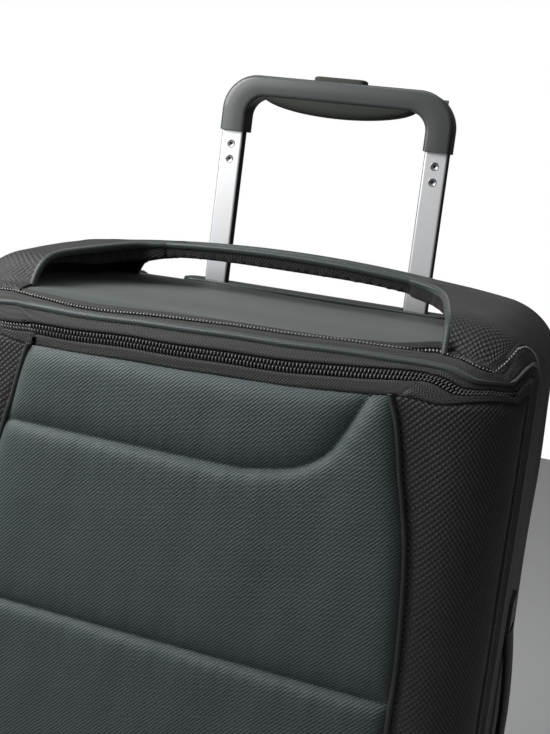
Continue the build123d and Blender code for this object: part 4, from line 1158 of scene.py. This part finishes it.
def build_top_panel():
    """The smooth sunk panel: slightly crowned, turned up a little where it meets its side walls."""
    y = np.concatenate([np.linspace(LINE_TOP + 1.3, SHOULDER, 12),
                        np.linspace(SHOULDER + 2, BEZEL_FRONT, 70)])
    u = np.linspace(-1, 1, 80)[None, :]
    bow = line_at(LINE_LENGTH, u * 178) - LINE_TOP
    y = y[:, None] + bow * (1 - ease((y[:, None] - LINE_TOP) / 60))
    behind = y - SHOULDER
    half = cavity_half(y)
    x = u * (half - 0.4)
    z = TOP - DOME_DROP * (1 - ease(behind / 60)) - round_in(y - FRONT, ROUND_TOP)
    z = z + (1 - u ** 4) * ease(behind / 80) - 0.6 * ease((y - 20) / 70)
    points = np.stack([x, y, z], -1)
    cove = np.exp(-(half - np.abs(x)) / 9.0) * dome_share(y)
    uneven = 0.5 * ripple(points, 150.0, 11) * ease(behind / 30)
    points[..., 2] += uneven + COVE * cove * (1 - ease((y + 40) / 80))
    obj = surface("top_panel_cloth", points, SMOOTH, flip=True, thick=2.0)
    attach(obj, "root")
    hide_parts("top_panel")


def build_bottom_panel():
    """Woven panel under the case."""
    steps = np.concatenate([np.linspace(0, 0.1, 10), np.linspace(0.12, 1, 50)])
    start = LINE_TOP + 1.2
    y = start + (BACK - ROUND_BACK + 14 - start) * steps
    u = np.linspace(-1, 1, 60)
    yy, uu = np.meshgrid(y, u, indexing="ij")
    z = BOTTOM + end_drop(yy)
    points = np.stack([uu * 161, yy, z], -1)
    points[..., 2] -= 0.8 * ripple(points, 120.0, 12)
    obj = surface("bottom_panel_cloth", points, WEAVE, thick=2.0)
    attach(obj, "root")
    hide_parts("bottom_panel")


def build_back_panel():
    """Flat back with two upright padded ridges over the trolley tubes."""
    z = np.linspace(BACK_LOW, TOP - 4, 150)
    x = np.linspace(-BACK_HALF, BACK_HALF, 150)
    zz, xx = np.meshgrid(z, x, indexing="ij")
    ridge = np.exp(-((np.abs(xx) - TUBE_X) / 19) ** 4)
    ends = ease((zz - 66) / 30) * ease((TOP - 30 - zz) / 30)
    yy = BACK - 0.8 + 1.0 * ridge * ends
    points = np.stack([xx, yy, zz], -1)
    edge = np.minimum(np.minimum(BACK_HALF - np.abs(xx), zz - BACK_LOW), TOP - 4 - zz)
    top_round = np.clip(zz - (TOP - 4 - ROUND_BACK), 0, ROUND_BACK)
    points[..., 1] -= ROUND_BACK - np.sqrt(np.maximum(ROUND_BACK ** 2 - top_round ** 2, 0))
    points[..., 1] -= 2.0 * np.exp(-edge / 3.0) + 0.5 * ripple(points, 160.0, 13) * (1 - np.exp(-edge / 10))
    points[..., 1] = np.maximum(points[..., 1], TUBE_BACK + 3.0)
    obj = surface("back_panel_cloth", points, TWILL, thick=2.0)
    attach(obj, "root")
    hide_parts("back_panel")
    outline = np.array(rounded_rect(BACK_HALF + 1, BACK_LOW, TOP - ROUND_BACK, 18))
    path = np.stack([outline[:, 0], np.full(len(outline), BACK - 1.2), outline[:, 1]], 1)
    path = resample(np.vstack([path, path[:1]]), 360)[:-1]
    out, _ = path_frames(path, closed=True, up=(0, 1, 0))
    piping = sweep("back_piping", path, out, (0, 1, 0), circle(2.2, 12), PIPING_DARK, closed=True)
    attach(piping, "root")


# ---------------------------------------------------------------- carry handles and studs
def build_top_handle():
    """Padded strap over the sunk panel: woven top, piped edges, mesh underneath."""
    x = np.linspace(-STRAP_HALF, STRAP_HALF, 190)
    held = ease((STRAP_HALF - np.abs(x)) / 30)
    crest = TOP + STRAP_CREST - STRAP_FALL * x ** 2 + 0.25 * np.sin(x / 19) * np.sin(x / 7.3) * held
    share = np.linspace(-1, 1, 26)
    middle = (STRAP_FRONT + STRAP_BACK) / 2
    half = (STRAP_BACK - STRAP_FRONT) / 2
    xx, ss = np.meshgrid(x, share, indexing="ij")
    crown = 1.6 * (1 - np.abs(ss) ** 3)
    uneven = 0.25 * ripple(np.stack([xx, ss * 20, 0 * xx], -1), 60.0, 20)
    zz = crest[:, None] + (crown - 1.2 + uneven) * held[:, None]
    top = surface("top_handle_cloth", np.stack([xx, middle + ss * half, zz], -1), WEAVE)
    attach(top, "root")
    around = np.linspace(0, 1, 34)
    swell = np.exp(-((np.minimum(around, 1 - around) - 0.11) / 0.07) ** 2) * np.where(around < 0.5, -0.7, 0.7)
    edge = (0.6, -0.2, 0.8, 4.5)
    y_side = [STRAP_FRONT + d for d in edge] + [middle] + [STRAP_BACK - d for d in edge[::-1]]
    rows = []
    x = np.linspace(-STRAP_END, STRAP_END, 420)
    crest = TOP + STRAP_CREST - STRAP_FALL * x ** 2
    under = TOP + strap_under(x)
    for i in range(len(x)):
        depth = crest[i] - 2.6 - under[i]
        z_side = [crest[i] - 2.6, crest[i] - 0.45 * depth, under[i] + 0.22 * depth, under[i] + 0.04 * depth]
        z_side = z_side + [under[i] - 0.6] + z_side[::-1]
        curve = smooth_curve(np.stack([y_side, z_side], 1), len(around))
        pucker = 1.5 * math.sin(x[i] / 1.5 + 1.5 * math.sin(x[i] / 23)) + 0.9 * math.sin(x[i] / 4.9)
        rows.append(np.stack([np.full(len(around), x[i]), curve[:, 0], curve[:, 1] + pucker * swell], 1))
    low = surface("top_handle_mesh", np.array(rows), MESH_CLOTH, flip=True)
    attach(low, "root")
    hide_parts("top_handle")
    front = RIM_ARC[(RIM_ARC[:, 1] > LINE_TOP + 13)]
    back_y = np.linspace(BACK - 9, STRAP_BACK + 0.1, 200)
    back = np.stack([recess_edge(back_y), back_y], 1)
    for half, y, name in ((front, STRAP_FRONT, "front"), (back, STRAP_BACK, "rear")):
        bar = np.stack([np.linspace(114, -114, 120), np.full(120, y)], 1)
        flat = np.vstack([half, bar, half[::-1] * np.array([-1, 1])])
        flat = resample(flat, 640)
        path = np.stack([flat[:, 0], flat[:, 1], rim_height(flat[:, 0], flat[:, 1]) - 1.0], 1)
        out, up = path_frames(path)
        piping = sweep(f"top_handle_piping_{name}", path, out, up, circle(3.2, 14), PIPING)
        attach(piping, "root")


def build_side_handle():
    """Padded handle on the right side with piping along both edges."""
    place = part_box("side_handle")
    low_y, high_y = place[0][1] / MM, place[1][1] / MM
    low_z, high_z = place[0][2] / MM, place[1][2] / MM
    middle = (low_z + high_z) / 2
    z = np.linspace(low_z, high_z, 110)
    t = (z - middle) / (high_z - middle)
    crest = HALF + 14 - 7 * t ** 2
    under = HALF + 6.8 - 6.6 * t ** 2
    rows = []
    half = (high_y - low_y) / 2
    centre = (high_y + low_y) / 2
    angle = np.linspace(0, 2 * math.pi, 40, endpoint=False)
    for i in range(len(z)):
        thick = (crest[i] - under[i]) / 2
        mid = (crest[i] + under[i]) / 2
        c, s = np.cos(angle), np.sin(angle)
        y = centre + half * np.sign(c) * np.abs(c) ** 0.55
        x = mid + thick * np.sign(s) * np.abs(s) ** 0.7
        rows.append(np.stack([x, y, np.full_like(y, z[i])], 1))
    obj = surface("side_handle_cloth", np.array(rows), WEAVE, wrap_cols=True)
    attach(obj, "root")
    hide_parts("side_handle")
    for y, name in ((low_y + 0.8, "front"), (high_y - 0.8, "rear")):
        path = np.stack([(crest + under) / 2 + 0.6, np.full_like(z, y), z], 1)
        out, up = path_frames(path, up=(1, 0, 0))
        piping = sweep(f"side_handle_piping_{name}", path, out, up, circle(1.8, 10), PIPING_DARK)
        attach(piping, "root")


# ---------------------------------------------------------------- trolley
def arch_path(half, high, low, radius, count):
    """Left leg up, over and down the right leg, as (x, z) at even shares of the leg, bend and bar."""
    leg = np.linspace(low, high - radius, 12)[:-1]
    turn = np.radians(np.linspace(180, 90, 22))
    bar = np.linspace(-half + radius, 0, count)[1:]
    left = np.vstack([
        np.stack([np.full_like(leg, -half), leg], 1),
        np.stack([-half + radius + radius * np.cos(turn), high - radius + radius * np.sin(turn)], 1),
        np.stack([bar, np.full_like(bar, high)], 1)])
    right = left[::-1][1:] * np.array([-1, 1])
    return np.vstack([left, right])


def build_shell_half(name, outer, inner, start, end, bevel):
    """One half of the grip: section from the outer to the inner line, rounded over at its face."""
    across = inner - outer
    width = np.linalg.norm(across, axis=1)
    across = across / width[:, None]
    sign = 1 if start > end else -1
    turns = [math.pi / 2 * k / 6 for k in range(7)]
    profile = [(0.0, start)]
    profile += [(bevel * (1 - math.cos(t)), end + sign * bevel * (1 - math.sin(t))) for t in turns]

    def row(inset, depth):
        place = outer + across * np.reshape(inset, (-1, 1))
        return np.stack([place[:, 0], np.full(len(outer), depth), place[:, 1]], 1)

    rows = [row(w, d) for w, d in profile]
    for t in np.linspace(0.1, 0.9, 9):
        rows.append(row(bevel + (width - 2 * bevel) * t, end - sign * 0.5 * math.sin(math.pi * t)))
    rows += [row(width - w, d) for w, d in profile[:0:-1] + [(0.0, start)]]
    points = np.array(rows)
    obj = surface(name, points, GRIP, wrap_rows=True, flip=start > end)
    count, cols = points.shape[:2]
    work = bmesh.new()
    work.from_mesh(obj.data)
    work.verts.ensure_lookup_table()
    for column in (0, cols - 1):
        work.faces.new([work.verts[r * cols + column] for r in range(count)])
    bmesh.ops.recalc_face_normals(work, faces=work.faces)
    work.to_mesh(obj.data)
    work.free()
    return obj


def build_grip():
    """Grip in two halves, the soft pad under its bar, and the push button."""
    front_y, split = low("grip_front", 1), high("grip_front", 1)
    rear_y = high("grip_rear", 1)
    half = high("grip_front", 0)
    outer = arch_path(half, GRIP_TOP, GRIP_LOW, GRIP_ROUND[0], 34)
    inner = arch_path(half - GRIP_LEG, GRIP_TOP - GRIP_BAR, GRIP_LOW, GRIP_ROUND[1], 34)
    shells = ((build_shell_half("grip_front_shell", outer, inner, split - 0.2, front_y, 4.2), "grip_front"),
              (build_shell_half("grip_rear_shell", outer, inner, split + 0.25, rear_y, 4.2), "grip_rear"))
    for obj, node in shells:
        shade = obj.modifiers.new("shade", "EDGE_SPLIT")
        shade.split_angle = math.radians(50)
        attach(obj, "upper_stage")
        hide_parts(node)
    under = GRIP_TOP - GRIP_BAR
    x = np.linspace(-INSERT_HALF, INSERT_HALF, 70)
    rows = []
    for value in x:
        drop = INSERT_DEPTH * math.sqrt(max(1 - (value / (INSERT_HALF + 0.5)) ** 2, 0)) ** 1.2 + 0.8
        v = np.linspace(-1, 1, 24)
        y = (front_y + rear_y) / 2 + (rear_y - front_y) / 2 * 0.86 * v
        z = under + 0.4 - drop * (1 - np.abs(v) ** 3.2) ** 0.6
        rows.append(np.stack([np.full_like(y, value), y, z], 1))
    insert = surface("grip_insert_pad", np.array(rows), GRIP_SOFT, flip=True)
    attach(insert, "upper_stage")
    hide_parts("grip_insert")
    cap_low, cap_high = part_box("push_button")
    pill = rounded_rect(cap_high[0] / MM, cap_low[1] / MM + 0.2, cap_high[1] / MM - 0.2, 7.5, 8)
    button = slab("push_button_cap", pill, GRIP_TOP - 6.5, cap_high[2] / MM, 0.3, 2.4, GRIP_SOFT)
    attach(button, "button")
    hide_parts("push_button")


def build_screws():
    """Heads of the grip screws, turned from rings of (radius, depth) about y; their recess is painted black
    as painted shade in the hollow.
    """
    face = low("inner_tube_right", 1)
    places = np.array([(side * TUBE_X, face, GRIP_LOW - drop) for side in (-1, 1) for drop in SCREW_DROPS])
    rings = [(4.3, 0.5), (4.2, -0.05), (3.7, -0.35), (3.1, -0.1), (2.9, 0.35), (2.2, 0.3), (1.6, 0.25),
             (1.5, 1.2), (0.2, 1.3)]
    around, painted_shade_from = 24, 6
    base = np.array([(r * c, depth, r * s) for r, depth in rings
                     for c, s in circle(1.0, around)])
    faces = [f[:1] + f[:0:-1] for f in grid_faces(len(rings), around, False, True)]
    faces += end_caps(len(rings), around)[1:]
    axes = [np.tile(axis, (len(places), 1)) for axis in np.eye(3)]
    obj = repeat("grip_screw_heads", base, faces, places, *axes, STEEL)
    # The recess faces get the black material: painted shade in the screw's hollow.
    obj.data.materials.append(BLACK)
    dark = [int(k // around >= painted_shade_from) for k in range(len(faces))]
    obj.data.polygons.foreach_set("material_index", dark * len(places))
    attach(obj, "upper_stage")
    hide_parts("grip_screws")


def build_springs():
    """Return springs under the push rods, at their rest length."""
    base = low("return_springs", 2)
    top = high("return_springs", 2)
    depth = (low("return_springs", 1) + high("return_springs", 1)) / 2
    t = np.linspace(0, 1, 160)
    angle = 2 * math.pi * SPRING_TURNS * t
    out = np.stack([np.cos(angle), np.sin(angle), np.zeros_like(t)], 1)
    for sign, side in ((1, "right"), (-1, "left")):
        path = out * SPRING_RADIUS
        path[:, 0] += sign * TUBE_X
        path[:, 1] += depth
        path[:, 2] = base + SPRING_WIRE + (top - base - 2 * SPRING_WIRE) * t
        coil = sweep(f"return_spring_{side}", path, out, (0, 0, 1), circle(SPRING_WIRE, 8), STEEL)
        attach(coil, "upper_stage")
        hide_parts("return_springs")
        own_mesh(coil)


def paint_nodes():
    """Finishes and softened edges for the pieces that keep their CAD shape."""
    black = ("side_handle_anchors", "side_studs", "wheel_housing_left", "wheel_housing_right", "front_feet",
             "kick_plate", "tube_bracket", "mid_collars", "strap_buckle", "lock_housings", "wheel_hub_left",
             "wheel_hub_right")
    finish = {"trolley_bezel": GLOSSY, "lid_board": BOARD, "packing_straps": WEBBING}
    finish.update((name, BLACK) for name in black)
    for side in ("left", "right"):
        finish[f"wheel_tyre_{side}"] = RUBBER
        finish.update((f"{tube}_tube_{side}", TUBE) for tube in ("inner", "mid", "outer"))
    for place in ("upper", "lower"):
        finish[f"slider_{place}"] = finish[f"pull_tab_{place}"] = ZIP_METAL
    for name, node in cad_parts.items():
        if node.hide_render:
            continue
        material = finish.get(name, STEEL)
        node.data.materials.clear()
        node.data.materials.append(material)
        bevel = node.modifiers.new("soft edges", "BEVEL")
        bevel.width = 0.0006
        bevel.segments = 2
        bevel.limit_method = "ANGLE"
        bevel.angle_limit = math.radians(40)


def clear_bay(points):
    """Lifts a lining over the wheel housings, in place."""
    bay = in_bay(np.abs(points[..., 0]), points[..., 1], points[..., 2], LINING_BAY)
    points[..., 2] = np.where(bay, LINING_BAY[2], points[..., 2])


def build_linings():
    """Cloth linings that follow the hull inside the rear shell, the ring and the lid."""
    def ring_sheet(name, inset, depths, body, node, back=None):
        a, b, nx, nz = station_columns(STATIONS)
        y = np.broadcast_to(np.asarray(depths, float), (COUNT, len(depths)))
        points = hull_points(a, b, nx, nz, y, inset)
        points[..., 2] = np.minimum(points[..., 2], TOP - 21)
        clear_bay(points)
        if back is not None:
            centre = np.array([0, back, MIDDLE])
            last = points[:, -1]
            for t in np.linspace(0.06, 0.97, 9):
                points = np.concatenate([points, (last + (centre - last) * t)[:, None]], 1)
            clear_bay(points)
        normal = grid_normals(points)
        centre = points - np.array([0, 0, MIDDLE])
        if np.mean(np.sum(normal * centre, -1)) > 0:
            normal = -normal
        wrinkle = 0.7 * ripple(points, 80.0, 30) + 0.4 * ripple(points, 30.0, 31)
        points = points + normal * (0.8 + 0.8 * wrinkle)[..., None]
        obj = surface(name, points, LINING, wrap_rows=True)
        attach(obj, body)
        if node:
            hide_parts(node)

    ring_sheet("rear_lining_cloth", 15.5, np.linspace(-69, 111.5, 40), "root", "rear_lining", back=111.0)
    ring_sheet("ring_lining_cloth", 9.0, np.linspace(-91, -58, 8), "front_section", None)
    depths = np.concatenate([np.linspace(-95, -128, 10), [-131, -133.5, -134.8]])
    ring_sheet("lid_lining_cloth", 11.0, depths, "lid", "lid_lining", back=-135.0)


def build_camera():
    """The camera as found from the photograph."""
    yaw, pitch, roll = (math.radians(v) for v in CAMERA_TURN)
    ahead = Vector((-math.sin(yaw) * math.cos(pitch), math.cos(yaw) * math.cos(pitch), -math.sin(pitch)))
    right = Vector((math.cos(yaw), math.sin(yaw), 0))
    up = right.cross(ahead)
    right_tilted = right * math.cos(roll) + up * math.sin(roll)
    up_tilted = up * math.cos(roll) - right * math.sin(roll)
    data = bpy.data.cameras.new("camera")
    data.lens = CAMERA_LENS
    data.sensor_width = 36
    data.shift_y = CAMERA_SHIFT
    camera = bpy.data.objects.new("camera", data)
    matrix = Matrix((right_tilted, up_tilted, -ahead)).transposed().to_4x4()
    matrix.translation = Vector(CAMERA_PLACE)
    camera.matrix_world = matrix
    bpy.context.scene.collection.objects.link(camera)
    bpy.context.scene.camera = camera


def area_light(name, place, target, size, power):
    data = bpy.data.lights.new(name, "AREA")
    data.size = size
    data.energy = power
    lamp = bpy.data.objects.new(name, data)
    lamp.location = place
    lamp.rotation_euler = (Vector(target) - Vector(place)).to_track_quat("-Z", "Y").to_euler()
    bpy.context.scene.collection.objects.link(lamp)


def build_surroundings():
    """White backdrop with a dimmer, uneven light of its own, three lamps and a pale floor."""
    world = bpy.data.worlds.new("studio")
    world.use_nodes = True
    tree = world.node_tree
    seen = tree.nodes["Background"]
    seen.inputs[0].default_value = (1, 1, 1, 1)
    seen.inputs[1].default_value = 1.0
    lit = tree.nodes.new("ShaderNodeBackground")
    sky = tree.nodes.new("ShaderNodeTexCoord")
    lean = tree.nodes.new("ShaderNodeVectorMath")
    lean.operation = "DOT_PRODUCT"
    lean.inputs[1].default_value = Vector(SKY_LEAN).normalized()
    ramp = tree.nodes.new("ShaderNodeMapRange")
    for k, value in ((1, -0.5), (2, 0.95), (3, 0.01), (4, 0.36)):
        ramp.inputs[k].default_value = value
    path = tree.nodes.new("ShaderNodeLightPath")
    blend = tree.nodes.new("ShaderNodeMixShader")
    tree.links.new(sky.outputs["Generated"], lean.inputs[0])
    tree.links.new(lean.outputs["Value"], ramp.inputs[0])
    tree.links.new(ramp.outputs[0], lit.inputs[1])
    tree.links.new(path.outputs["Is Camera Ray"], blend.inputs[0])
    tree.links.new(lit.outputs[0], blend.inputs[1])
    tree.links.new(seen.outputs[0], blend.inputs[2])
    tree.links.new(blend.outputs[0], tree.nodes["World Output"].inputs[0])
    bpy.context.scene.world = world
    for lamp in LAMPS:
        area_light(*lamp)
    bpy.context.scene.view_settings.view_transform = "Standard"
    bpy.ops.mesh.primitive_plane_add(size=6, location=(0, 0, 0))
    floor = bpy.context.object
    floor.name = "floor"
    pale = Shader("floor_paint")
    pale.set("Base Color", pale.mix(pale.noise(6.0, 2.0), srgb(226, 227, 228), srgb(232, 233, 234)))
    pale.set("Roughness", 0.8)
    floor.data.materials.append(pale.material)
    floor.visible_diffuse = False


build_bands()
build_hinge()
build_gusset()
build_centre_panel()
build_lid_corners()
build_side_panels()
build_top_panel()
build_bottom_panel()
build_back_panel()
build_top_handle()
build_side_handle()
build_grip()
build_screws()
build_linings()
build_springs()
paint_nodes()
build_camera()
build_surroundings()
